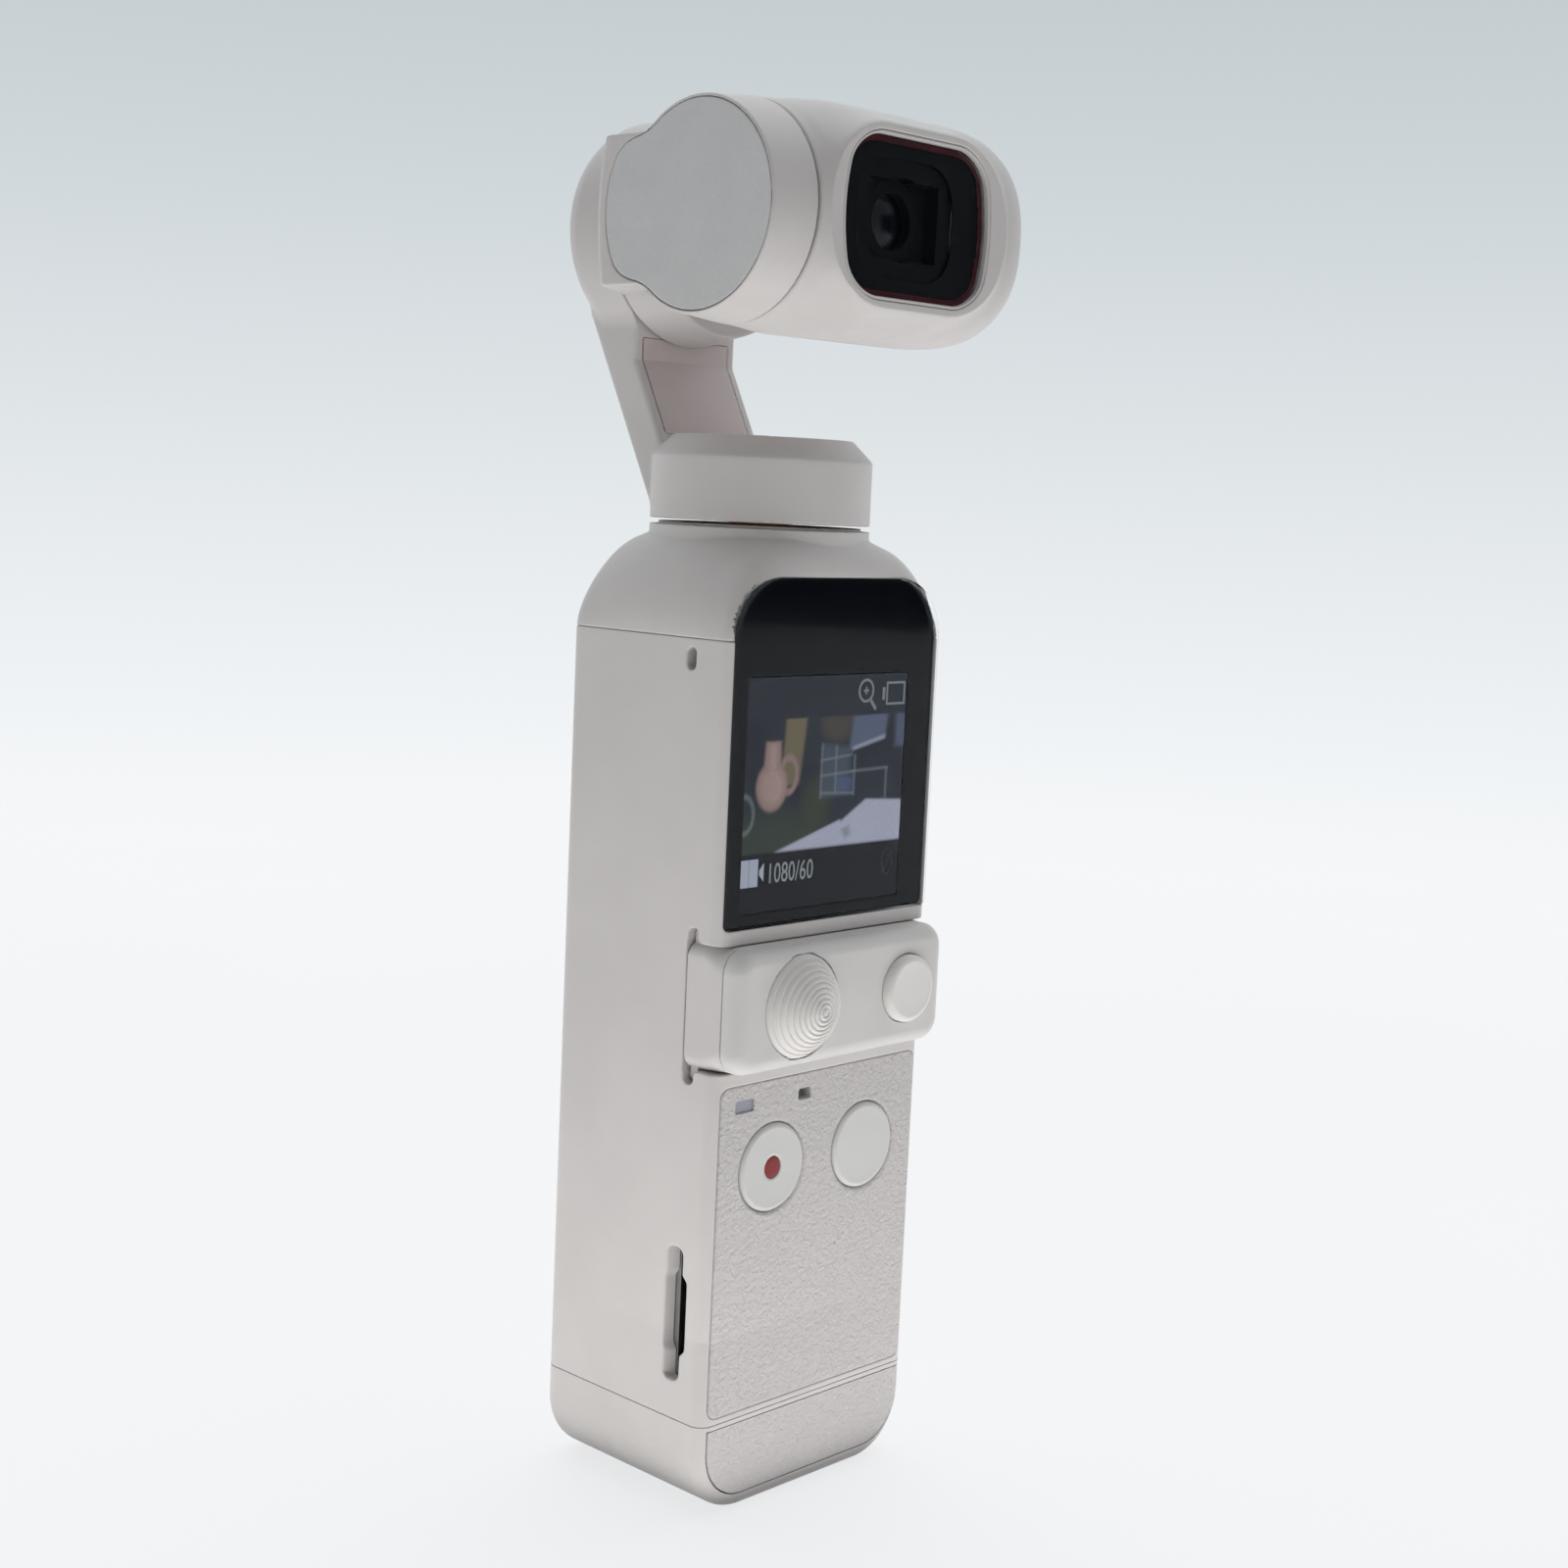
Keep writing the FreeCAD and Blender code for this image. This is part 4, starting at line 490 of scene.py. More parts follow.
def plastic(name, colour, rough=(0.38, 0.5), grain=0.16, depth=0.004, edge=0.12, mottle=0.03, specular=0.5):
    """Moulded satin plastic: fine grain, uneven sheen, faint mottling and polished edges."""
    r = Recipe(name)
    worn = r.node("ShaderNodeBevel", samples=4, Radius=edge * MM)
    apart = r.node("ShaderNodeVectorMath", operation="DOT_PRODUCT")
    r.join(worn, "Normal", apart, 0)
    r.join(r.node("ShaderNodeNewGeometry"), "Normal", apart, 1)
    light = r.tint(r.spread(apart, "Value", 1, 0, 0.9, 0.995), "Result", colour, shade(colour, 1.06))
    r.join(r.vary(r.noise(9.0, 3.0), colour, 1 - mottle, 1 + mottle), 2, light, 6)
    r.rough(r.noise(1.4), "Fac", *rough)
    r.finish(light, r.bump(r.noise(grain, 2.0, 0.6), "Fac", depth, 0.8, worn))
    r.set(Specular_IOR_Level=specular)
    return r.material


def leather(name, colour):
    """Fine irregular leather grain: soft wrinkled pebbles with shallow creases."""
    r = Recipe(name)
    shift = r.node("ShaderNodeVectorMath", operation="MULTIPLY_ADD")
    shift.inputs[1].default_value = (0.7 * MM, 0.7 * MM, 0.7 * MM)
    r.join(r.noise(0.9), "Color", shift, 0)
    r.join(r.place, "Object", shift, 2)
    cells = r.node("ShaderNodeTexVoronoi", feature="SMOOTH_F1", Scale=1 / (0.5 * MM), Smoothness=0.8)
    r.join(shift, "Vector", cells, "Vector")
    small = r.node("ShaderNodeTexNoise", Scale=1 / (0.3 * MM), Detail=3.0, Roughness=0.6)
    r.join(shift, "Vector", small, "Vector")
    pores = r.bump(r.noise(0.1), "Fac", 0.006, 0.7)
    creases = r.bump(small, "Fac", 0.17, 1.0, pores)
    pebbles = r.bump(r.spread(cells, "Distance", 1, 0, 0, 0.75), "Result", 0.07, 1.0, creases)
    r.finish(r.vary(small, colour, 0.975, 1.02, 0.35, 0.65), pebbles)
    r.rough(small, "Fac", 0.5, 0.64)
    r.set(Specular_IOR_Level=0.42)
    return r.material


def metal(name, colour, rough=(0.25, 0.4), grain=0.2, stretch=None, depth=0.002, metallic=1.0):
    """Bare or plated metal with a fine uneven finish."""
    r = Recipe(name)
    fine = r.noise(grain, 3.0, 0.6, stretch)
    r.finish(r.vary(r.noise(2.5), colour, 0.94, 1.05), r.bump(fine, "Fac", depth, 0.6))
    r.rough(fine, "Fac", *rough)
    r.set(Metallic=metallic)
    return r.material


def flaked(name, colour):
    """Satin metallic paint with fine flake."""
    r = Recipe(name)
    flake = r.node("ShaderNodeTexVoronoi", feature="F1", Scale=1 / (0.07 * MM))
    r.join(r.place, "Object", flake, "Vector")
    base = r.vary(r.noise(4.0), colour, 0.98, 1.02)
    bright = r.spread(flake, "Color", 0.93, 1.08, 0.0, 1.0)
    r.finish(r.times(base, 2, bright, "Result"), r.bump(flake, "Distance", 0.002, 0.5))
    r.rough(flake, "Color", 0.34, 0.5, 0.0, 1.0)
    r.set(Metallic=0.45)
    return r.material


def glass(name, colour, ior, smeared):
    """Clear or tinted polished glass with faint smears."""
    r = Recipe(name)
    smear = r.noise(6.0, 4.0, 0.6)
    r.rough(smear, "Fac", 0.0, smeared, 0.45, 0.8)
    r.finish(r.vary(smear, colour, 0.97, 1.0), r.bump(r.noise(0.5), "Fac", 0.0002, 0.2))
    r.set(Transmission_Weight=1.0, IOR=ior)
    return r.material


def board(name, colour):
    """Solder resist with the faint relief of tracks."""
    r = Recipe(name)
    tracks = r.node("ShaderNodeTexBrick", Scale=1 / (2.2 * MM))
    r.join(r.place, "Object", tracks, "Vector")
    r.finish(r.vary(r.noise(0.4), colour, 0.85, 1.2), r.bump(tracks, "Fac", 0.02, 0.5))
    r.set(Roughness=0.35)
    return r.material


def lit_picture():
    """Display picture: each point's own colour as light, with a faint pixel texture."""
    r = Recipe("lit_picture")
    tone = r.node("ShaderNodeVertexColor", layer_name="tone")
    dots = r.noise(0.2, 1.0)
    r.finish(r.times(tone, "Color", r.spread(dots, "Fac", 0.94, 1.06), "Result"), into="Emission Color")
    r.rough(dots, "Fac", 0.05, 0.08)
    r.set(Emission_Strength=1.0, Base_Color=(0.002, 0.002, 0.003, 1), Specular_IOR_Level=0.19)
    return r.material


def lit_symbols(name, colour):
    """Symbols of the display as light."""
    r = Recipe(name)
    dots = r.noise(0.12, 1.0)
    r.finish(r.tint(dots, "Fac", shade(linear(*colour), 0.9), linear(*colour)), into="Emission Color")
    r.rough(dots, "Fac", 0.3, 0.4)
    r.set(Emission_Strength=1.0, Base_Color=(0.02, 0.02, 0.02, 1), Specular_IOR_Level=0.0)
    return r.material


# The finish of each material slot: its maker, its colour and the maker's other values in order.
MAKERS = {
    "body_plastic": (plastic, linear(204, 200, 198)),
    "module_plastic": (plastic, linear(205, 203, 201), (0.34, 0.44), 0.3, 0.003),
    "button_plastic": (plastic, linear(203, 202, 200), (0.4, 0.5), 0.3, 0.003),
    # Stick cap: set lighter than the module's plastic so the dome, which the dim light from above leaves
    # darker, reads brighter. This is its own white plastic plus painted light.
    "stick_plastic": (plastic, linear(219, 216, 213), (0.45, 0.56), 0.12, 0.004, 0.06),
    # Arm cover: a pink, slightly darker tint over its white plastic stands in for a reflection and for the
    # shade on the arm's front. This is a painted reflection and painted shade.
    "arm_cover_plastic": (plastic, linear(202, 189, 189), (0.36, 0.46), 0.14, 0.003),
    "panel_grain": (leather, linear(198, 194, 193)),
    "screen_glass": (glass, (0.96, 0.97, 0.98, 1), 1.06, 0.003),
    "display": (plastic, (0.002, 0.0022, 0.004, 1), (0.05, 0.08), 0.4, 0.0001, 0.02, 0.03, 0.19),
    "light_lens": (plastic, linear(150, 151, 164), (0.26, 0.36), 0.3, 0.002),
    "frame_alloy": (metal, (0.5, 0.51, 0.53, 1), (0.4, 0.55), 0.12, None, 0.006),
    "steel": (metal, (0.5, 0.5, 0.5, 1), (0.22, 0.36), 0.1, (1, 1, 9)),
    "shield_metal": (metal, (0.6, 0.61, 0.62, 1), (0.28, 0.4), 0.3),
    "battery_wrap": (metal, (0.16, 0.17, 0.19, 1), (0.35, 0.5), 0.8, None, 0.02, 0.6),
    "circuit_board": (board, (0.02, 0.12, 0.07, 1)),
    "contact_gold": (metal, (0.83, 0.56, 0.2, 1), (0.18, 0.3), 0.1),
    "record_red": (plastic, linear(126, 31, 34), (0.34, 0.46), 0.2, 0.002, 0.05),
    "dark_plastic": (plastic, (0.0075, 0.008, 0.009, 1), (0.42, 0.56), 0.1, 0.003, 0.05, 0.03, 0.12),
    "cable_film": (plastic, (0.42, 0.2, 0.05, 1), (0.2, 0.3), 0.6, 0.003),
    "cover_silver": (flaked, linear(198, 196, 195)),
    "window_glass": (glass, (0.8, 0.8, 0.82, 1), 1.15, 0.003),
    "lens_glass": (glass, (0.3, 0.3, 0.34, 1), 1.35, 0.02),
    "sensor_glass": (plastic, (0.02, 0.03, 0.05, 1), (0.05, 0.1), 0.5, 0.0005),
    "winding_copper": (metal, (0.7, 0.3, 0.12, 1), (0.25, 0.4), 0.15, (1, 1, 6), 0.02),
    "magnet_nickel": (metal, (0.6, 0.59, 0.56, 1), (0.12, 0.22), 0.5),
}
FINISHES = {}


def finish_of(slot_name):
    """The material of a slot, made once."""
    if slot_name not in FINISHES:
        maker, *values = MAKERS[slot_name]
        FINISHES[slot_name] = maker(slot_name, *values)
    return FINISHES[slot_name]


for node, item in NODES.items():
    made = finish_of(SLOT_OF[node])
    if not item.data.materials:
        item.data.materials.append(made)
    for index in range(len(item.data.materials)):
        item.data.materials[index] = made


# Shoulder

def glass_plan(p, grow):
    """Outline of the screen glass: large corners at the top, small ones at the foot."""
    x, _, z = place_of(p, (GLASS_FOOT + GLASS_TOP) / 2)
    half = GLASS_HALF + grow
    rise = (GLASS_TOP - GLASS_FOOT) / 2 + grow
    return np.where(z > 0, panel(x, z, half, rise, 5.5), panel(x, z, half, rise, 0.5))


def glass_seat(p):
    """Seat of the screen glass."""
    return np.maximum(glass_plan(p, 0.025), p[..., 1] - GLASS_BACK)


def shoulder(p):
    """Handle top: walls that lean in to the round neck, with soft edges that widen upwards."""
    x, y, z = place_of(p)
    lean = math.radians(24)
    pan = (x, y - PAN_Y, z)
    rho = np.hypot(x, y - PAN_Y)
    crown = (z - SHOULDER_TOP) * math.cos(lean) + (rho - NECK_RADIUS) * math.sin(lean)
    body = np.maximum(meet(np.abs(x) - SIDE, crown, SHOULDER_ROUND), z - NECK_TOP)
    edge = CORNER + 1.0 * ramp(z, SEAM, SEAM + 6)
    body = meet(body, FRONT - y, edge)
    body = meet(body, y - BACK, edge)
    neck = meet(rho - NECK_RADIUS, z - NECK_TOP, 0.12)
    body = blend(body, np.maximum(neck, SEAM + 3.2 - z), 0.12)
    body = np.minimum(body, np.maximum(rho - LIP_RADIUS, slab(z, (86, NECK_TOP + 0.25))))
    body = meet(body, SEAM - z, 0.16)
    body = cut(body, glass_seat(p), 0.12)
    return carve(
        body, crate(p, (-12.0, 12.0), (-8.8, ROOM_BACK), (SEAM - 2, SEAM + 2.4)),
        tube(*pan, 8.3, (SEAM, NECK_TOP - 1.3)), tube(*pan, 3.0, (SEAM, NECK_TOP + 1)),
    )


moulded(
    "shoulder_cap", shoulder,
    levels((-14.3, 14.3, 0.2)), levels((-11.1, -8.9, 0.14), (-8.9, 8.9, 0.24), (8.9, 11.1, 0.18)),
    levels((78.3, 79.2, 0.12), (79.2, 87, 0.22), (87, 89.1, 0.12)),
)


# Handle housing

def groove(p):
    """Accessory groove: a mouth with soft lips and an undercut behind them."""
    _, y, z = place_of(p, MODULE_LEVEL)
    mouth = np.maximum(np.abs(z) - MODULE_RISE - 0.1, slab(y, (FRONT - 3, -6.5)))
    return blend(mouth, panel(y + 7.15, z, 0.65, 7.0, 0.6), 0.4)


def card_slot(p):
    """Card slot with a slanted rear wall and a finger notch."""
    x, y, z = place_of(p, SLOT_LEVEL)
    slant = 0.35
    slot = panel(y + 6.5, z, 1.0, 6.15, 0.75)
    slot = np.maximum(slot, (y + 5.5 + slant * (x + SIDE)) / math.hypot(1, slant))
    notch = panel(y + 6.8, z, 1.3, 3.5, 0.6)
    return np.maximum(blend(slot, notch, 0.4), x - SLOT_INNER)


def handle(p):
    """Housing of the handle with its seats, slots, holes and inner room."""
    x, y, z = place_of(p)
    body = meet(panel(x, y, SIDE, BACK, CORNER), slab(z, (BASE_TOP, SEAM)), 0.16)
    body = cut(body, glass_seat(p), 0.12)
    seat = panel(x, z - PANEL_LEVEL, 12.85, 15.125, 0.9)
    body = cut(body, np.maximum(seat, y - PANEL_BACK), 0.1)
    body = cut(body, groove(p), 0.1)
    body = cut(body, card_slot(p), 0.14)
    mic = panel(y + 5.5, z - 77.0, 0.55, 1.0, 0.53)
    body = cut(body, np.maximum(mic, x - SLOT_INNER), 0.12)
    wall = (-11, -8.1)
    for place in (-BUTTON_X, BUTTON_X):
        body = carve(body, tube(x - place, z - BUTTON_LEVEL, y, 4.45, wall))
    for place, half_x, half_z in ((LIGHT_X, 1.15, 0.55), (MIC_X, 0.8, 0.5)):
        hole = (place - half_x, place + half_x), wall, (HOLES_LEVEL - half_z, HOLES_LEVEL + half_z)
        body = carve(body, crate(p, *hole))
    display = [(span[0] - 0.1, span[1] + 0.1) for span in (DISPLAY_X, DISPLAY_LEVELS)]
    body = carve(body, crate(p, display[0], (-10, -7.9), display[1]))
    for front, low, high in ((-8.1, 54.9, SEAM + 1), (-5.2, 10.1, SEAM + 1), (-8.2, 10.1, 38.3)):
        body = carve(body, crate(p, (-12.5, 12.5), (front, ROOM_BACK), (low, high)))
    foot = (BASE_TOP - 1, 11)
    body = cut(body, np.maximum(panel(x, y, 4.5, 1.65, 1.3), slab(z, foot)), 0.15)
    for place in (-9.6, 9.6):
        body = carve(body, crate(p, (place - 0.9, place + 0.9), (-4.1, 4.1), foot))
    for sign, level in itertools.product((-1, 1), (28.0, 73.5)):
        boss = (x - sign * 10.6, z - level, y)
        body = carve(np.minimum(body, tube(*boss, 1.6, (-4.2, 9.9))), tube(*boss, 0.7, (-5.5, -0.2)))
    return body


moulded(
    "handle_shell", handle,
    levels((-14.2, -12.1, 0.14), (-12.1, 12.1, 0.44), (12.1, 14.2, 0.14)),
    levels((-10.9, -8.9, 0.13), (-8.9, -5.0, 0.22), (-5.0, 9.2, 0.6), (9.2, 10.9, 0.18)),
    levels(
        (8.4, 9.9, 0.13), (9.9, 25.5, 0.28), (25.5, 37.5, 0.45), (37.5, 41.7, 0.16), (41.7, 51.5, 0.45),
        (51.5, 55.2, 0.16), (55.2, 74.8, 0.45), (74.8, 79.2, 0.13),
    ),
)


# Front panel and buttons

def front_panel(p):
    """Grained panel with soft channels round the two buttons."""
    x, y, z = place_of(p)
    body = meet(panel(x, z - PANEL_LEVEL, 12.84, 15.115, 0.89), slab(y, (FRONT, PANEL_BACK)), 0.12)
    through = (-12, -9)
    for place in (-BUTTON_X, BUTTON_X):
        body = cut(body, tube(x - place, z - BUTTON_LEVEL, y, BUTTON_HOLE, through), 0.42)
    light = panel(x - LIGHT_X, z - HOLES_LEVEL, 1.15, 0.55, 0.12)
    body = cut(body, np.maximum(light, slab(y, through)), 0.06)
    mic = panel(x - MIC_X, z - HOLES_LEVEL, 0.8, 0.5, 0.2)
    return cut(body, np.maximum(mic, slab(y, through)), 0.08)


moulded(
    "front_panel", front_panel,
    levels((-13.1, 13.1, 0.17)), levels((-10.75, -9.4, 0.11)),
    levels((9.2, 26.5, 0.3), (26.5, 39.9, 0.17)),
)


def button_profile(hole):
    """Half section of a panel button: dished face, soft edge, flange and stem."""
    dish = 3.5
    rows = [(hole, -10.64), (hole + 0.01, -10.64)] if hole else [(0.0, -10.62)]
    for step in range(1, 9):
        radius = hole + (dish - hole) * step / 8
        rows.append((radius, -10.62 - 0.08 * (radius / dish) ** 3))
    for step in range(0, 9):
        turn = math.pi / 2 * step / 8
        rows.append((BUTTON_EDGE - 0.45 + 0.45 * math.sin(turn), -10.72 + 0.42 * (1 - math.cos(turn))))
    rows += [(BUTTON_EDGE, -8.15), (5.0, -8.15), (5.0, -7.75), (1.4, -7.75), (1.4, -5.5), (0.0, -5.5)]
    if hole:
        rows = [(0.0, -10.25), (hole - 0.04, -10.25), (hole, -10.3), (hole, -10.6)] + rows[1:]
    return rows


DOT_PROFILE = [
    (0.0, -10.67), (0.5, -10.665), (0.85, -10.65), (0.98, -10.61), (1.03, -10.54), (1.03, -10.26),
    (0.0, -10.26),
]
turned("record_button", ("Y", (BUTTON_LEVEL, -BUTTON_X), button_profile(DOT_RADIUS), 128))
turned("power_button", ("Y", (BUTTON_LEVEL, BUTTON_X), button_profile(0.0), 128))
turned("record_dot", ("Y", (BUTTON_LEVEL, -BUTTON_X), DOT_PROFILE, 96))


# Screen

def screen_glass(p):
    """Clear cover glass with polished edges."""
    return meet(glass_plan(p, 0), slab(p[..., 1], (FRONT, GLASS_INNER)), 0.1)


moulded(
    "screen_glass", screen_glass,
    levels((-13.5, -7.5, 0.2), (-7.5, 7.5, 0.6), (7.5, 13.5, 0.2)), levels((-10.7, -9.85, 0.085)),
    levels((53.3, 54.3, 0.12), (54.3, 78.5, 0.6), (78.5, 84.6, 0.16)),
)


def print_frame(p):
    """Black print behind the glass, open over the display."""
    sheet = np.maximum(glass_plan(p, -0.06), slab(p[..., 1], (-9.94, -9.86)))
    middle_x, middle_z, half = -0.65, 65.2, 10.4
    return carve(sheet, panel(p[..., 0] - middle_x, p[..., 2] - middle_z, half, half, 0.15))


formed(
    "screen_print", print_frame,
    (
        levels((-13.5, -9, 0.2), (-9, 9, 0.6), (9, 13.5, 0.2)), levels((-9.98, -9.82, 0.04)),
        levels((53.3, 55.4, 0.15), (55.4, 75, 0.6), (75, 84.6, 0.2)),
    ),
    "display", "handle",
)


def paint(under, share, colour):
    """Lay a colour over others by a share from 0 to 1."""
    share = share[..., None]
    return under * (1 - share) + np.array(linear(*colour)[:3]) * share


def soft(distance, width):
    """Share from 1 inside to 0 outside of a shape with a blurred edge."""
    return 1 - ramp(distance, -width, width)


def half_plane(s, t, a, b):
    """Signed distance to the line from a to b, positive on its right."""
    du, dv = b[0] - a[0], b[1] - a[1]
    return ((s - a[0]) * dv - (t - a[1]) * du) / math.hypot(du, dv)


def polygon(s, t, *corners):
    """Signed distance to a convex polygon."""
    ends = corners[1:] + corners[:1]
    if sum(a[0] * b[1] - b[0] * a[1] for a, b in zip(corners, ends)) < 0:
        corners = corners[::-1]
        ends = corners[1:] + corners[:1]
    return np.max([half_plane(s, t, a, b) for a, b in zip(corners, ends)], axis=0)


def picture(x, z):
    """Plain view of a room with a jug, shelves and a white sheet, as seen on the display."""
    s = (x - DISPLAY_X[0]) / (DISPLAY_X[1] - DISPLAY_X[0])
    t = (PICTURE_LEVELS[1] - z) / (PICTURE_LEVELS[1] - PICTURE_LEVELS[0])

    def patch(*corners):
        return polygon(s, t, *corners)

    def round_spot(u, v, ru, rv):
        return np.hypot((s - u) / ru, (t - v) / rv) - 1

    wave = np.sin(7.3 * s + 2.1) * np.sin(5.9 * t + 0.7)
    wave = wave + 0.6 * np.sin(17 * s + 9 * t) * np.sin(13 * t - 4 * s)
    room = np.zeros(s.shape + (3,)) + np.array(linear(36, 41, 50)[:3])
    room = paint(room, 0.5 + 0.3 * wave, (26, 30, 38))
    pane, rail, jug_shade = (70, 80, 92), (104, 112, 124), (120, 102, 98)
    layers = [
        (1, np.hypot((s - 0.2) / 0.55, (t - 1.0) / 0.5) - 0.6, 0.3, (44, 52, 46)),
        (0.8, round_spot(0.44, 0.66, 0.09, 0.2), 0.5, (50, 56, 44)),
        (0.9, patch((0.24, -0.05), (0.22, 0.5), (0.33, 0.5), (0.37, -0.05)), 0.015, (100, 92, 72)),
        (0.7, round_spot(0.56, 0.05, 0.1, 0.14), 0.4, (70, 64, 56)),
        (0.9, patch((0.66, 0.0), (0.64, 0.26), (0.87, 0.17), (0.89, -0.03)), 0.02, (78, 86, 108)),
        (0.9, patch((0.66, 0.24), (0.66, 0.27), (0.87, 0.19), (0.87, 0.155)), 0.012, (128, 134, 150)),
        (0.8, patch((0.94, -0.02), (0.94, 0.26), (1.02, 0.26), (1.02, -0.02)), 0.02, (74, 82, 104)),
        (0.6, patch((0.47, 0.2), (0.47, 0.62), (0.65, 0.62), (0.65, 0.24)), 0.03, pane),
        (0.7, patch((0.56, 0.47), (0.56, 0.58), (0.67, 0.58), (0.67, 0.47)), 0.02, (66, 78, 108)),
    ]
    for a, b in (
        ((0.46, 0.33), (0.66, 0.3)), ((0.46, 0.45), (0.68, 0.43)), ((0.66, 0.43), (0.9, 0.42)),
        ((0.47, 0.58), (0.68, 0.6)),
    ):
        ends = np.abs(s - (a[0] + b[0]) / 2) - (b[0] - a[0]) / 2
        layers.append((0.7, np.maximum(np.abs(half_plane(s, t, a, b)) - 0.008, ends), 0.01, rail))
    for place, low, high in ((0.47, 0.2, 0.62), (0.56, 0.22, 0.6), (0.68, 0.3, 0.62), (0.89, 0.42, 0.66)):
        layers.append((0.65, np.maximum(np.abs(s - place) - 0.005, slab(t, (low, high))), 0.008, rail))
    neck = patch((0.12, 0.16), (0.11, 0.4), (0.22, 0.4), (0.21, 0.16)) / 0.1
    jug = np.minimum(round_spot(0.165, 0.5, 0.095, 0.19), neck)
    grip = np.abs(round_spot(0.265, 0.42, 0.05, 0.13)) - 0.22
    shine = 0.5 + 0.5 * np.clip((s - 0.08) / 0.17, 0, 1)
    sheet = np.minimum(
        patch((0.62, 0.64), (0.59, 0.83), (0.4, 1.02), (1.05, 1.02), (1.05, 0.69)),
        patch((0.6, 0.8), (0.2, 1.0), (0.21, 1.02), (0.7, 1.02)),
    )
    layers += [
        (1, np.minimum(jug, grip), 0.12, jug_shade),
        (0.55 * shine, jug + 0.25, 0.3, (160, 140, 134)),
        (0.5, np.abs(round_spot(0, 0.7, 0.06, 0.14)) - 0.12, 0.15, (112, 126, 122)),
        (1, sheet, 0.012, (146, 150, 166)),
        (0.6, patch((0.66, 0.85), (0.61, 0.88), (0.64, 0.95), (0.67, 0.92)), 0.02, (92, 98, 108)),
    ]
    for share, distance, width, colour in layers:
        room = paint(room, share * soft(distance, width), colour)
    inside = soft(slab(z, PICTURE_LEVELS), 0.03)[..., None]
    bar = np.where((z > 66)[..., None], np.array(linear(34, 39, 46)[:3]), np.array(linear(14, 16, 21)[:3]))
    return room * inside + bar * (1 - inside)


def sheet_solid(name, front, back, across, up, count):
    """Thin closed slab whose front is a square grid of points."""
    points = [(x, front, z) for z in np.linspace(*up, count) for x in np.linspace(*across, count)]
    faces = []
    for j, i in itertools.product(range(count - 1), repeat=2):
        a = j * count + i
        faces.append((a, a + 1, a + count + 1, a + count))
    rim = list(range(count))
    rim += [j * count + count - 1 for j in range(1, count)]
    rim += [(count - 1) * count + i for i in range(count - 2, -1, -1)]
    rim += [j * count for j in range(count - 2, 0, -1)]
    start = len(points)
    points += [(points[i][0], back, points[i][2]) for i in rim]
    for k in range(len(rim)):
        n = (k + 1) % len(rim)
        faces.append((rim[k], start + k, start + n, rim[n]))
    faces.append(tuple(start + k for k in range(len(rim) - 1, -1, -1)))
    return add_mesh(name, points, faces, None, False)


view = sheet_solid("display_picture", -9.83, -9.71, DISPLAY_X, DISPLAY_LEVELS, 150)
places = np.array([vertex.co for vertex in view.data.vertices]) / MM
tones = np.ones((len(places), 4))
tones[:, :3] = picture(places[:, 0], places[:, 2])
view.data.color_attributes.new("tone", "FLOAT_COLOR", "POINT").data.foreach_set("color", tones.ravel())
settle(view, "display", "handle")
view.data.materials[0] = lit_picture()


def bars(strokes, front, back):
    """Solid strokes: each is a list of outer and inner points, closed into a ring or a bar."""
    points, faces = [], []
    for outer, inner in strokes:
        count = len(outer)
        start = len(points)
        shift = 2 * count
        for depth in (front, back):
            points += [(u, depth, v) for u, v in outer + inner]
        for k in range(count):
            n = (k + 1) % count
            a, b, c, d = start + k, start + n, start + count + n, start + count + k
            faces += [(a, b, c, d), (a + shift, d + shift, c + shift, b + shift)]
            faces += [(a, a + shift, b + shift, b), (d, c, c + shift, d + shift)]
    return points, faces


def loop(u, v, ru, rv, width, count=40):
    """Elliptical ring stroke."""
    turns = [2 * math.pi * k / count for k in range(count)]
    outer = [(u + ru * math.cos(a), v + rv * math.sin(a)) for a in turns]
    inner = [(u + (ru - width) * math.cos(a), v + (rv - width) * math.sin(a)) for a in turns]
    return outer, inner


def frame_of(u, v, width):
    """Rectangular ring stroke from two spans."""
    outer = [(u[0], v[0]), (u[1], v[0]), (u[1], v[1]), (u[0], v[1])]
    u, v = (u[0] + width, u[1] - width), (v[0] + width, v[1] - width)
    return outer, [(u[0], v[0]), (u[1], v[0]), (u[1], v[1]), (u[0], v[1])]


def bar_of(a, b, width):
    """Straight stroke, as a ring with a hair line inside."""
    du, dv = b[0] - a[0], b[1] - a[1]
    size = math.hypot(du, dv)
    nu, nv = -dv / size * width / 2, du / size * width / 2
    return tuple(
        [(a[0] - nu * w, a[1] - nv * w), (b[0] - nu * w, b[1] - nv * w),
         (b[0] + nu * w, b[1] + nv * w), (a[0] + nu * w, a[1] + nv * w)]
        for w in (1, 0.02)
    )


TOP_STROKES = [
    loop(4.2, 74.1, 1.06, 1.1, 0.24), bar_of((4.85, 73.2), (5.6, 72.35), 0.34),
    bar_of((3.85, 74.1), (4.55, 74.1), 0.2), bar_of((4.2, 73.75), (4.2, 74.45), 0.2),
    frame_of((6.95, 9.55), (72.7, 74.85), 0.22), bar_of((6.6, 73.2), (6.6, 74.35), 0.36),
]
FOOT_STROKES = [
    bar_of((-10.05, 57.2), (-10.05, 59.65), 2.25),
    ([(-8.75, 58.2), (-8.2, 57.6), (-8.2, 59.25), (-8.75, 58.65)],
     [(-8.5, 58.4), (-8.48, 58.38), (-8.48, 58.46), (-8.5, 58.44)]),
]
FAINT_STROKES = [loop(8.2, 58.1, 0.8, 1.3, 0.16), bar_of((7.8, 57.2), (8.7, 59.0), 0.16)]
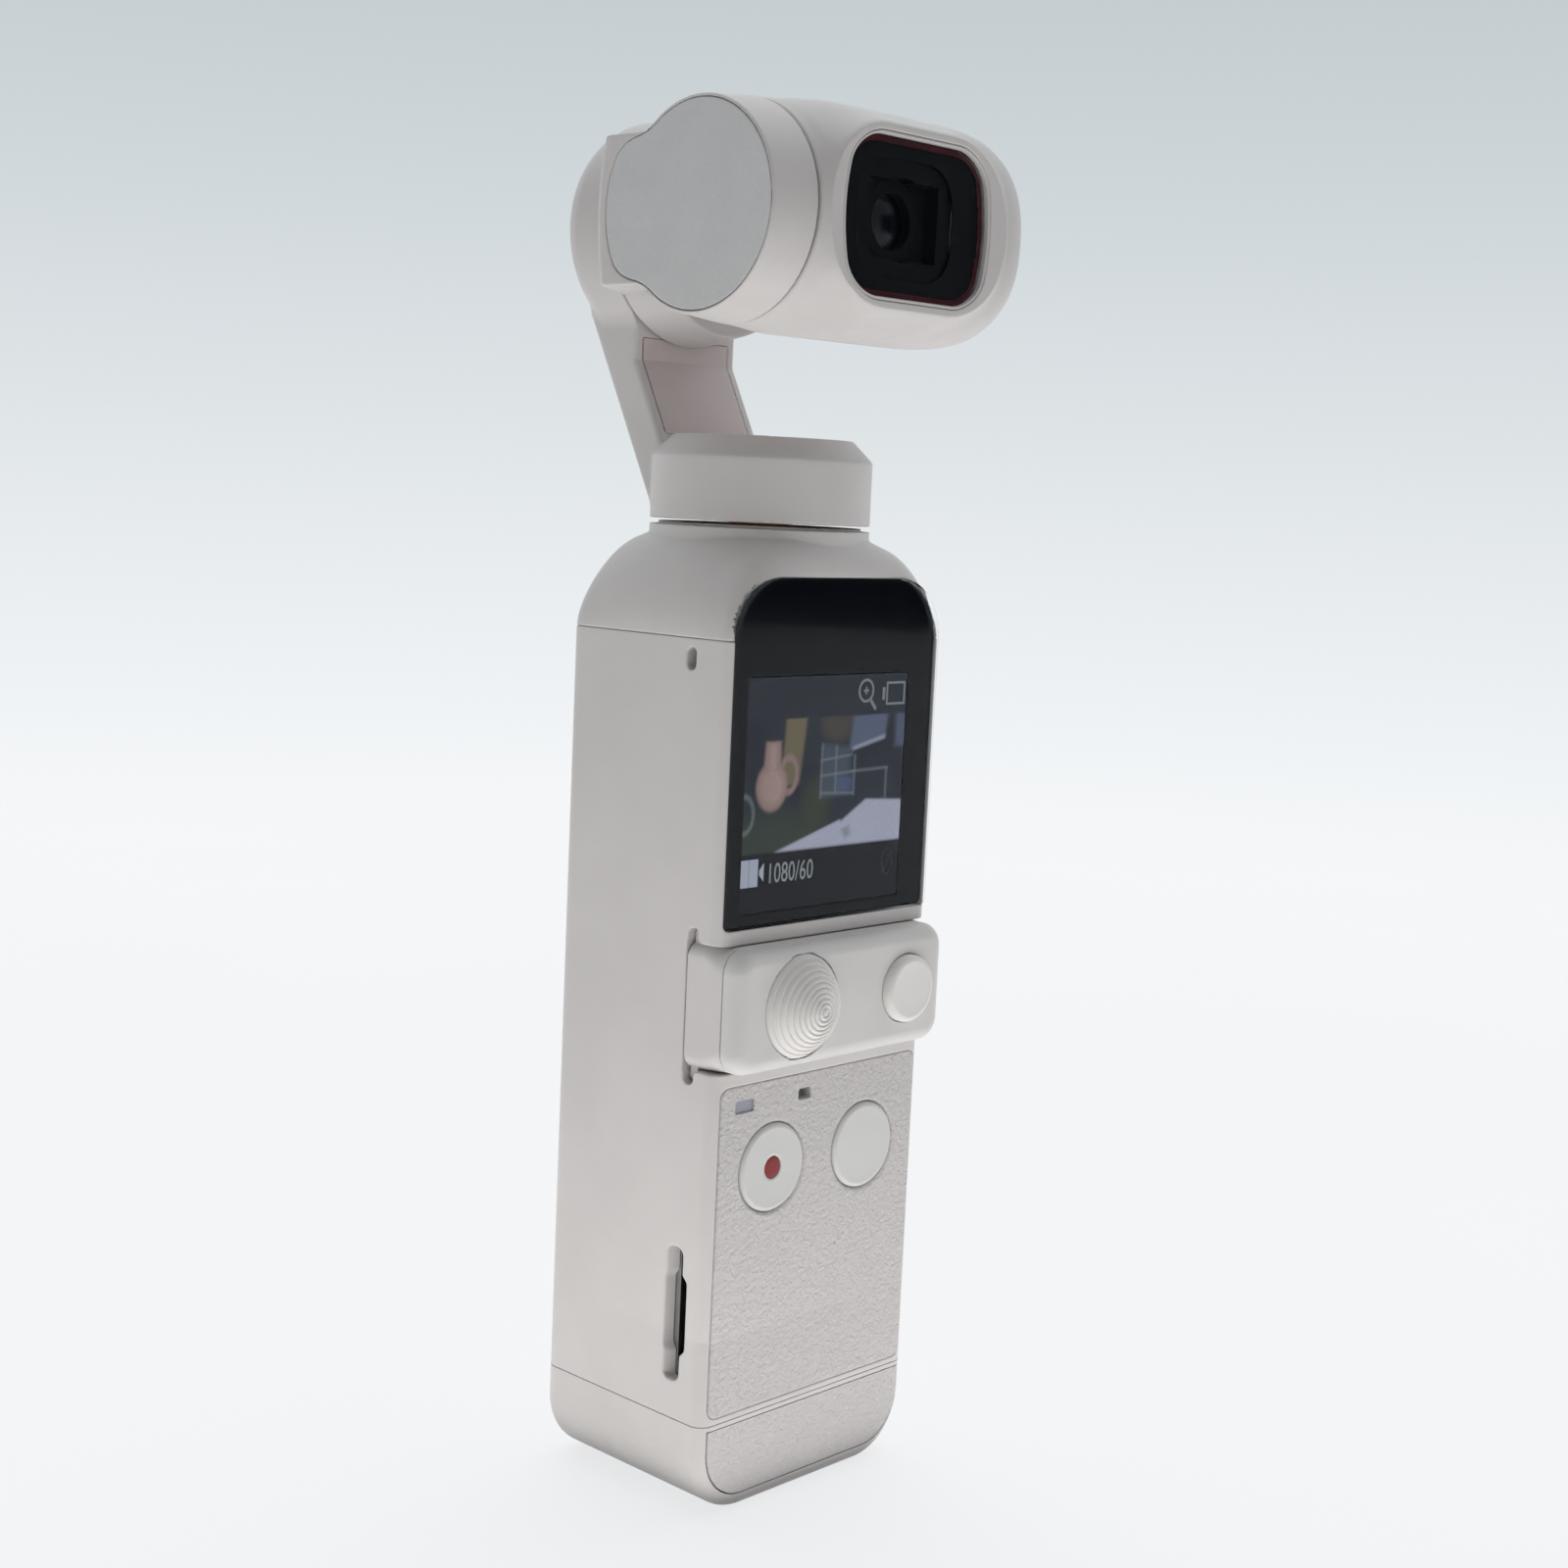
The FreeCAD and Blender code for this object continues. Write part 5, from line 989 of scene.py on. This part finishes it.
for name, strokes, colour in (
    ("display_top_icons", TOP_STROKES, (112, 119, 124)),
    ("display_foot_icon", FOOT_STROKES, (150, 156, 170)),
    ("display_faint_icon", FAINT_STROKES, (46, 51, 56)),
):
    points, faces = bars(strokes, SYMBOL_FRONT, SYMBOL_FRONT + 0.015)
    symbol = settle(add_mesh(name, points, faces, None, False), "display", "handle")
    symbol.data.materials[0] = lit_symbols(f"{name}_light", colour)


def digits():
    """Picture size and rate in plain numbers at the foot of the display."""
    curve = bpy.data.curves.new("digits", "FONT")
    curve.body = "1080/60"
    curve.size = 3.3 * MM
    curve.extrude = 0.008 * MM
    curve.resolution_u = 3
    shape = bpy.data.objects.new("digits", curve)
    mesh = bpy.data.meshes.new_from_object(shape)
    bpy.data.objects.remove(shape)
    co = np.array([vertex.co for vertex in mesh.vertices])
    low, high = co.min(0), co.max(0)
    across = -7.45 * MM + (co[:, 0] - low[0]) / (high[0] - low[0]) * 5.6 * MM
    up = 57.35 * MM + (co[:, 1] - low[1]) / (high[1] - low[1]) * 1.8 * MM
    deep = -9.842 * MM - co[:, 2]
    mesh.vertices.foreach_set("co", np.stack([across, deep, up], 1).ravel())
    mesh.name = "display_digits"
    mesh.update()
    item = bpy.data.objects.new("display_digits", mesh)
    bpy.context.scene.collection.objects.link(item)
    settle(item, "display", "handle")
    item.data.materials[0] = lit_symbols("display_digits_light", (128, 133, 136))


digits()


# Camera head

def window_plan(p, grow):
    """Outline of the camera window with bowed sides, grown by a rim."""
    x, _, z = place_of(p, AXIS_LEVEL)
    bow = 17.0
    side = np.hypot(np.abs(x - WINDOW_X) + bow - 9.3, z) - bow - grow
    return meet(side, np.abs(z) - 6.7 - grow, 2.7 + grow)


def head(p):
    """Camera housing: round at the tilt motor, squarer towards the front and domed at its end."""
    x, y, z = place_of(p, AXIS_LEVEL)
    ahead = TILT_Y - y
    tilt = (ahead, z, x)
    share = ramp(x, -11.6, -5.0)
    reach = np.where(ahead > 0, 9.5 + 0.6 * ramp(x, -11.6, -9.6), 9.5 + 0.2 * share)
    height = 9.5 + 0.4 * share
    power = 2 + 1.0 * share * np.where(ahead > 0, 1, 0.3) - 0.6 * ramp(x, 8, 16)
    gauge = ((np.abs(ahead) / reach) ** power + (np.abs(z) / height) ** power) ** (1 / power)
    dome = np.clip((x - 9.4) / 8.9, 0, 1)
    body = (gauge - (1 - dome ** 3.3) ** (1 / 3.3)) * 9.9
    body = np.maximum(body, x - CAMERA_END)
    pad = meet(window_plan(p, 0.95), slab(y, (CAMERA_FRONT, TILT_Y - 5)), 0.6)
    body = blend(body, pad, 2.2)
    body = meet(body, -11.4 - x, 0.22)
    body = np.maximum(body, CAMERA_FRONT - y)
    body = cut(body, np.maximum(window_plan(p, 0.33), y + 15.6), 0.12)
    body = carve(
        body, crate(p, (-6.8, 5.8), (CAMERA_FRONT, -14.9), (AXIS_LEVEL - 5.2, AXIS_LEVEL + 5.2)),
        tube(*tilt, 8.2, (-12.7, -7.5)), tube(*tilt, 8.1, (-6.9, 12.5)),
        crate(p, (-6.9, 8.6), (-15.1, TILT_Y), (AXIS_LEVEL - 6, AXIS_LEVEL + 6)),
    )
    return cut(body, tube(*tilt, 4.68, (17.4, 19.6)), 0.08)


moulded(
    "camera_shell", head,
    levels((-12, -8, 0.17), (-8, 10, 0.28), (10, 18.8, 0.18)),
    levels((-17.2, -14.4, 0.13), (-14.4, 3.6, 0.28)), levels((104.7, 125.5, 0.22)),
)

END_CAP_PROFILE = [
    (0.0, CAMERA_END), (1.6, 18.27), (3.2, 18.22), (4.2, 18.15), (4.5, 18.08), (4.6, 17.96), (4.6, 17.5),
    (0.0, 17.5),
]
turned("camera_end_cap", ("X", (TILT_Y, AXIS_LEVEL), END_CAP_PROFILE, 96))


def window_rim(p):
    """Thin rim round the window with a rounded face and an inner ledge."""
    y = p[..., 1]
    body = meet(window_plan(p, 0.29), slab(y, (CAMERA_FRONT + 0.04, BORDER_BACK)), 0.12)
    return cut(body, np.maximum(window_plan(p, 0.0), slab(y, (-18, -15))), 0.12)


def window_pane(p):
    """Dark flat window glass, a little behind its rim."""
    return meet(window_plan(p, -0.03), slab(p[..., 1], (PANE_FRONT, PANE_FRONT + 0.35)), 0.06)


def window_border(p):
    """Black border behind the glass with an eight-sided opening for the lens hood."""
    x, y, z = place_of(p, AXIS_LEVEL)
    u, v = np.abs(x + 0.5) - 6.1, np.abs(z) - 5.0
    opening = meet(meet(u, v, 1.2), (u + v + 1.9) / math.sqrt(2), 1.2)
    body = np.maximum(window_plan(p, -0.04), slab(y, (BORDER_FRONT, BORDER_BACK)))
    return cut(body, np.maximum(opening, slab(y, (-17, -15))), 0.05)


def window_gasket(p):
    """Dark red bonding line round the edge of the glass."""
    body = np.maximum(window_plan(p, -0.05), slab(p[..., 1], (BORDER_FRONT - 0.08, BORDER_FRONT)))
    return carve(body, window_plan(p, -0.62))


RIM_X = levels((-9.6, -5.6, 0.13), (-5.6, 6, 0.4), (6, 10.4, 0.13))
RIM_Z = levels((107.6, 110.6, 0.13), (110.6, 119.6, 0.35), (119.6, 122.6, 0.13))
moulded("window_frame", window_rim, RIM_X, levels((-16.8, -15.5, 0.1)), RIM_Z)
moulded("window_glass", window_pane, RIM_X, levels((PANE_FRONT - 0.1, PANE_FRONT + 0.45, 0.06)), RIM_Z)
moulded("window_mask", window_border, RIM_X, levels((-15.88, -15.54, 0.05)), RIM_Z)
gasket = formed(
    "window_gasket", window_gasket, (RIM_X, levels((-15.92, -15.76, 0.04)), RIM_Z), "dark_plastic", "camera",
)
gasket.data.materials[0] = plastic("gasket_red", linear(82, 14, 20), (0.3, 0.42), 0.3, 0.001, 0.02)


# Roll bracket

def keyhole(p, grow):
    """Outline of the tilt cover: a disc and a tab with a wide round end."""
    _, y, z = place_of(p, AXIS_LEVEL)
    disc = np.hypot(y - TILT_Y, z) - 8.7 - grow
    bar = np.maximum(np.abs(z) - 6.1 - grow, slab(y, (TILT_Y, HUB_FRONT)))
    end = np.hypot(y - TILT_Y - 2.2, z) - 9.1 - grow
    return blend(disc, meet(bar, end, 1.6), 0.9)


def bracket(p):
    """Roll hub, tab and tilt motor housing in one piece."""
    x, y, z = place_of(p, AXIS_LEVEL)
    tilt = (y - TILT_Y, z, x)
    hub_span = (HUB_FRONT, HUB_BACK)
    widen = (ROLL_RADIUS - HUB_RADIUS) / (HUB_BACK - HUB_FRONT)
    hub = np.hypot(x, z) - HUB_RADIUS - (y - HUB_FRONT) * widen
    hub = meet(hub / math.hypot(1, widen), slab(y, hub_span), 0.2)
    deep, wide = 5.2, 7.7
    diagonal = (y - HUB_FRONT + 0.018 * z * z) * wide - (x - BRACKET_OUT) * deep
    bar = np.maximum(slab(x, (BRACKET_OUT, BRACKET_IN)), slab(y, (TILT_Y, HUB_BACK)))
    bridge = np.maximum(slab(x, (BRACKET_OUT, -8.8)), slab(y, hub_span))
    tab = meet(np.minimum(bar, bridge), diagonal / math.hypot(wide, deep), 0.5)
    tab = meet(tab, np.abs(z) - 6.4, 0.2)
    grow = (9.5 - 9.0) / 4.9
    housing = np.hypot(y - TILT_Y, z) - 9.0 - (x - BRACKET_OUT) * grow
    housing = meet(housing, slab(x, (BRACKET_OUT, BRACKET_IN)), 0.18)
    body = np.maximum(blend(tab, housing, 0.45), BRACKET_OUT - x)
    body = np.maximum(blend(body, hub, 0.5), y - HUB_BACK)
    body = cut(body, tube(*tilt, 12.3, (BRACKET_IN, 21)), 0.15)
    body = carve(body, tube(x, z, y, 8.8, (7.0, 12.3)))
    body = cut(body, np.maximum(keyhole(p, 0.05), x - COVER_FLOOR), 0.08)
    return carve(body, tube(*tilt, 7.4, (-16.6, -12.8)), tube(*tilt, 3.0, (-16.6, -10.3)))


def tilt_plate(p):
    """Keyhole cover plate with a fine round edge."""
    return meet(keyhole(p, 0), slab(p[..., 0], (BRACKET_OUT, -15.95)), 0.07)


moulded(
    "roll_bracket", bracket,
    levels((-16.8, -15.6, 0.1), (-15.6, -8, 0.22), (-8, 11.5, 0.28)),
    levels((-16.2, 4.6, 0.17), (4.6, 11.5, 0.2)), levels((103.7, 126.5, 0.17)),
)
moulded(
    "tilt_cover", tilt_plate,
    levels((-16.6, -15.85, 0.09)), levels((-15.6, 5, 0.16)), levels((106.1, 124.1, 0.16)),
)


# Pan block and arm

def arm(p):
    """Pan block, leaning arm and roll motor housing in one piece."""
    x, y, z = place_of(p)
    roll = (x, z - AXIS_LEVEL, y)
    steep = math.hypot(1, LEAN)
    lean = (y - ARM_FOOT_Y - (z - BLOCK_TOP) * LEAN) / steep
    around = np.hypot(x, y - PAN_Y) - NECK_RADIUS
    block = meet(around, slab(z, (88.85, BLOCK_TOP)), 0.1)
    block = meet(block, (around + z - 94.6) / math.sqrt(2), 0.14)
    rear = lean - 4.3 / steep
    upper = np.maximum(np.maximum(ARM_FRONT - y, rear), y - ARM_BACK)
    web = np.where(z < LEAN_TOP, np.maximum(-lean, rear), upper)
    web = meet(web, np.abs(x) - 6.5, 0.45)
    web = np.maximum(web, slab(z, (89.15, AXIS_LEVEL)))
    ring = np.hypot(x, z - AXIS_LEVEL) - ROLL_RADIUS
    housing = meet(ring, slab(y, (ARM_FRONT, ARM_BACK)), 0.2)
    housing = meet(housing, (ring + y - 16.5) / math.sqrt(2), 0.9)
    body = blend(blend(block, web, 0.3), housing, 0.8)
    body = np.maximum(body, y - ARM_BACK)
    body = np.maximum(body, np.where(z > LEAN_TOP, ARM_FRONT - y, -1.0))
    body = carve(
        body, tube(x, y - PAN_Y, z, 8.8, (87.5, 95.2)), tube(*roll, 8.4, (12.4, 18)),
        tube(*roll, 9.05, (16.6, 19)), tube(*roll, 3.0, (9.9, 18)),
    )
    face = y - np.where(z < LEAN_TOP, ARM_FOOT_Y + (z - BLOCK_TOP) * LEAN, ARM_FRONT)
    band = slab(z, (BLOCK_TOP, 105.2))
    body = cut(body, np.maximum(np.maximum(np.abs(x) - 5.45, face - 0.8), band), 0.08)
    return carve(body, np.maximum(np.maximum(np.abs(x) - 4.0, face - 1.7), band))


moulded(
    "gimbal_arm", arm,
    levels((-11.4, 11.4, 0.24)), levels((-10.1, 4, 0.3), (4, 18.2, 0.22)), levels((88.3, 126.5, 0.24)),
)


# Control module

def module_front(p):
    """Front shell of the control module with the stick and button openings."""
    x, y, z = place_of(p, MODULE_LEVEL)
    body = meet(panel(x, z, MODULE_HALF, MODULE_RISE, MODULE_CORNER), MODULE_FRONT - y, 1.5)
    body = meet(body, y - MODULE_SEAM, 0.08)
    body = carve(body, np.maximum(panel(x, z, 12.75, 4.5, 1.2), slab(y, (MODULE_FRONT + 1, -10))))
    ball = np.sqrt((x - STICK_X) ** 2 + (y - STICK_PIVOT) ** 2 + z ** 2) - STICK_BALL - 0.05
    body = cut(body, ball, 0.05)
    return cut(body, tube(x - MODE_X, z, y, 3.22, (-14, -10)), 0.14)


def module_rail(p):
    """Back half of the module with the flange that runs in the groove."""
    x, y, z = place_of(p, MODULE_LEVEL)
    corner = MODULE_CORNER - 1 + ramp(-y, 8.3, -MODULE_SEAM)
    neck = np.maximum(panel(x, z, MODULE_HALF, MODULE_RISE, corner), slab(y, (MODULE_SEAM, -6.53)))
    flange = np.maximum(panel(y + 7.13, z, 0.52, 6.85, 0.5), np.abs(x) - 13.0)
    body = meet(np.minimum(neck, flange), MODULE_SEAM - y, 0.08)
    body = carve(body, np.maximum(panel(x, z, 12.75, 4.6, 1.2), slab(y, (-12, RAIL_FLOOR))))
    return carve(body, tube(x - STICK_X, z, y, 5.45, (-12, -10.0)))


moulded(
    "module_shell", module_front,
    levels((-14, 14, 0.2)), levels((-13.2, -10.7, 0.14)), levels((40.8, 52.4, 0.2)),
)
moulded(
    "module_rail", module_rail,
    levels((-14, -12.5, 0.16), (-12.5, 12.5, 0.5), (12.5, 14, 0.16)), levels((-11.2, -6.3, 0.16)),
    levels((39.5, 42, 0.16), (42, 51.2, 0.4), (51.2, 53.7, 0.16)),
)

MODE_PROFILE = [(0.0, -13.78), (1.6, -13.79), (2.5, -13.84)]
MODE_PROFILE += [
    (2.55 + 0.6 * math.sin(turn), -13.85 + 0.6 * (1 - math.cos(turn)))
    for turn in (math.pi / 2 * step / 10 for step in range(11))
]
MODE_PROFILE += [(3.15, -11.95), (3.65, -11.95), (3.65, -11.45), (1.4, -11.45), (1.4, -9.35), (0.0, -9.35)]
turned("mode_button", ("Y", (MODULE_LEVEL, MODE_X), MODE_PROFILE, 96))


def stick_profile():
    """Half section of the thumbstick cap: rounded rings on a dome, a thin skirt and the stem."""
    foot = MODULE_FRONT + 0.6
    under = MODULE_FRONT + 0.4
    stem = STICK_PIVOT + 0.7
    last = math.acos((STICK_PIVOT - foot + 0.08) / STICK_BALL)
    rows = []
    for step in range(0, 313):
        turn = last * step / 312
        rise = max(0.0, 1 - (turn / math.radians(50)) ** 2) ** 2
        ball = STICK_BALL + 0.39 * rise
        radius = ball * math.sin(turn)
        phase = (radius / RING_REACH * STICK_RINGS) % 1.0
        lift = math.sin(math.pi * phase / 0.84) ** 0.5 if 0 < phase < 0.84 else 0.0
        if radius > RING_REACH * (STICK_RINGS - 1) / STICK_RINGS + 0.1:
            lift = 1.0
        rows.append((radius, STICK_PIVOT - ball * math.cos(turn) + RING_DEPTH * (1 - lift)))
    widest = rows[-1][0]
    rows[0] = (0.0, rows[0][1])
    rows += [(widest - 0.06, foot), (widest - 0.3, foot), (widest - 0.32, under)]
    return rows + [(1.0, under), (1.0, stem), (0.0, stem)]


PIN_ENDS = (MODULE_LEVEL - 2.55, MODULE_LEVEL + 2.55)
PIN_PROFILE = [(0.0, PIN_ENDS[0]), (0.3, PIN_ENDS[0]), (0.3, PIN_ENDS[1]), (0.0, PIN_ENDS[1])]
turned(
    "stick_cap", ("Y", (MODULE_LEVEL, STICK_X), stick_profile(), 128),
    ("Z", (STICK_X, STICK_PIVOT), PIN_PROFILE, 24),
)


# Stage, light and camera

SKY_HORIZON = 0.42
SKY_TOP = 0.16
SKY_SIDE = (0.507, 0.456, 0.731)
SKY_LOBE = 2.4
FLOOR_TONE = 196
SHADOW_LIFT = 0.78
CARD_AWAY = 1420
CARD_HALF = 380
CARD_HEIGHT = 460
LENS = 53.27
CAMERA_ANGLES = (-46.47, 7.11, 2.65)
CAMERA_PLACE = (-0.153246, -0.149682, 0.091446)


def world():
    """Bright sky behind the object, dim on the camera's side, with a plain backdrop for the camera."""
    studio = bpy.data.worlds.new("studio")
    bpy.context.scene.world = studio
    r = Nodes(studio, "ShaderNodeOutputWorld")

    def along(direction, low, high, first, last):
        """Range by how far a ray leans towards a direction."""
        dot = r.node("ShaderNodeVectorMath", operation="DOT_PRODUCT")
        dot.inputs[1].default_value = direction
        r.join(r.place, "Generated", dot, 0)
        return r.spread(dot, "Value", low, high, first, last, interpolation_type="SMOOTHSTEP")

    total = r.node("ShaderNodeMath")
    r.join(along((0, 0, 1), SKY_HORIZON, SKY_TOP, 0.0, 0.55), "Result", total, 0)
    r.join(along(SKY_SIDE, 0, SKY_LOBE, 0.3, 0.95), "Result", total, 1)
    lit = r.node("ShaderNodeBackground", Color=(0.97, 0.985, 1.0, 1))
    r.join(total, 0, lit, "Strength")
    backdrop = r.node("ShaderNodeBackground")
    height = along((0, 0, 1), 0, 1, -0.25, 0.32)
    r.join(r.tint(height, "Result", linear(249, 251, 253), linear(189, 199, 203)), 2, backdrop, "Color")
    r.join(r.either(r.seen(), 0, lit, backdrop), 0, r.output, "Surface")


def floor():
    """Pale table top that fades into the backdrop for the camera."""
    count = 96
    points = [(0, 0, 0)]
    rings = (60, 140, 300, 700, 1400)
    for radius, index in itertools.product(rings, range(count)):
        angle = 2 * math.pi * index / count
        points.append((radius * math.cos(angle), radius * math.sin(angle), 0))
    faces = [(0, 1 + i, 1 + (i + 1) % count) for i in range(count)]
    for ring in range(len(rings) - 1):
        a = 1 + ring * count
        b = a + count
        faces += [(a + i, b + i, b + (i + 1) % count, a + (i + 1) % count) for i in range(count)]
    item = add_mesh("table_top", points, faces, None, False)
    r = Recipe("table_top")
    folds = r.spread(r.noise(90.0), "Fac", 0, 1)
    tone = r.tint(folds, "Result", linear(*[FLOOR_TONE - 5] * 3), linear(*[FLOOR_TONE] * 3))
    r.finish(tone, r.bump(r.noise(1.2, 3.0), "Fac", 0.03, 0.3))
    r.set(Roughness=0.85, Specular_IOR_Level=0.2)
    weight = r.node("ShaderNodeMath", operation="MULTIPLY")
    weight.inputs[1].default_value = SHADOW_LIFT
    r.join(r.seen(), 0, weight, 0)
    lifted = r.node("ShaderNodeEmission", Color=linear(252, 253, 254))
    soften = r.either(weight, 0, r.shader, lifted)
    far = r.node("ShaderNodeVectorMath", operation="LENGTH")
    r.join(r.place, "Object", far, 0)
    fade = r.spread(far, "Value", 0, 1, 0.16, 0.75, interpolation_type="SMOOTHSTEP")
    both = r.node("ShaderNodeMath", operation="MULTIPLY")
    r.join(fade, "Result", both, 0)
    r.join(r.seen(), 0, both, 1)
    edge = r.either(both, 0, soften, r.node("ShaderNodeBsdfTransparent"))
    r.join(edge, 0, r.output, "Surface")
    item.data.materials.append(r.material)


def dark_card():
    """Dark card beyond the table, in front and to the right, that the glass mirrors."""
    turn = math.radians(-42.3)
    across = Vector((-math.sin(turn), math.cos(turn), 0)) * CARD_HALF
    middle = Vector((math.cos(turn), math.sin(turn), 0)) * CARD_AWAY
    count = 9
    points, faces = [], []
    for depth, row, column in itertools.product((0, 12), range(2), range(count)):
        place = middle * (1 + depth / CARD_AWAY) + across * (2 * column / (count - 1) - 1)
        points.append((place.x, place.y, CARD_HEIGHT * row))
    for a in range(count - 1):
        for start, sense in ((a, 1), (a + 2 * count, -1)):
            faces.append((start, start + 1, start + count + 1, start + count)[::sense])
    item = add_mesh("dark_card", points, faces, None, False)
    r = Recipe("dark_card")
    r.finish(r.tint(r.noise(4.0), "Fac", (0.09, 0.1, 0.13, 1), (0.12, 0.13, 0.17, 1)))
    r.set(Roughness=1.0, Specular_IOR_Level=0.0)
    path = r.node("ShaderNodeLightPath")
    hidden = r.either(path, "Is Camera Ray", r.shader, r.node("ShaderNodeBsdfTransparent"))
    r.join(hidden, 0, r.output, "Surface")
    item.data.materials.append(r.material)


def bounce(name, x, y, power):
    """Soft square lamp on the floor that lights upwards and isn't seen."""
    data = bpy.data.lights.new(name, "AREA")
    data.energy = power
    data.size = 0.12
    data.color = (1.0, 0.99, 0.98)
    item = bpy.data.objects.new(name, data)
    item.location = (x, y, 0.001)
    item.rotation_euler = Vector((0, 0, 1)).to_track_quat("-Z", "Y").to_euler()
    item.visible_camera = False
    item.visible_glossy = False
    item.visible_transmission = False
    bpy.context.scene.collection.objects.link(item)


def camera():
    """Camera at the photograph's viewing angle."""
    data = bpy.data.cameras.new("camera")
    data.lens = LENS
    data.sensor_width = 36.0
    data.clip_start = 0.01
    data.clip_end = 20
    item = bpy.data.objects.new("camera", data)
    bpy.context.scene.collection.objects.link(item)
    azimuth, elevation, roll = (math.radians(angle) for angle in CAMERA_ANGLES)
    level = math.cos(elevation)
    right = Vector((math.cos(azimuth), math.sin(azimuth), 0))
    back = Vector((math.sin(azimuth) * level, -math.cos(azimuth) * level, math.sin(elevation)))
    up = back.cross(right)
    turned_right = right * math.cos(roll) + up * math.sin(roll)
    turned_up = up * math.cos(roll) - right * math.sin(roll)
    rows = zip(turned_right, turned_up, back, CAMERA_PLACE)
    item.matrix_world = Matrix((*rows, (0, 0, 0, 1)))
    bpy.context.scene.camera = item


world()
floor()
dark_card()
camera()
bounce("left_bounce", -0.077, 0.0, 0.055)
bounce("front_bounce", 0.0, -0.0725, 0.059)
bpy.context.scene.view_settings.view_transform = "Standard"
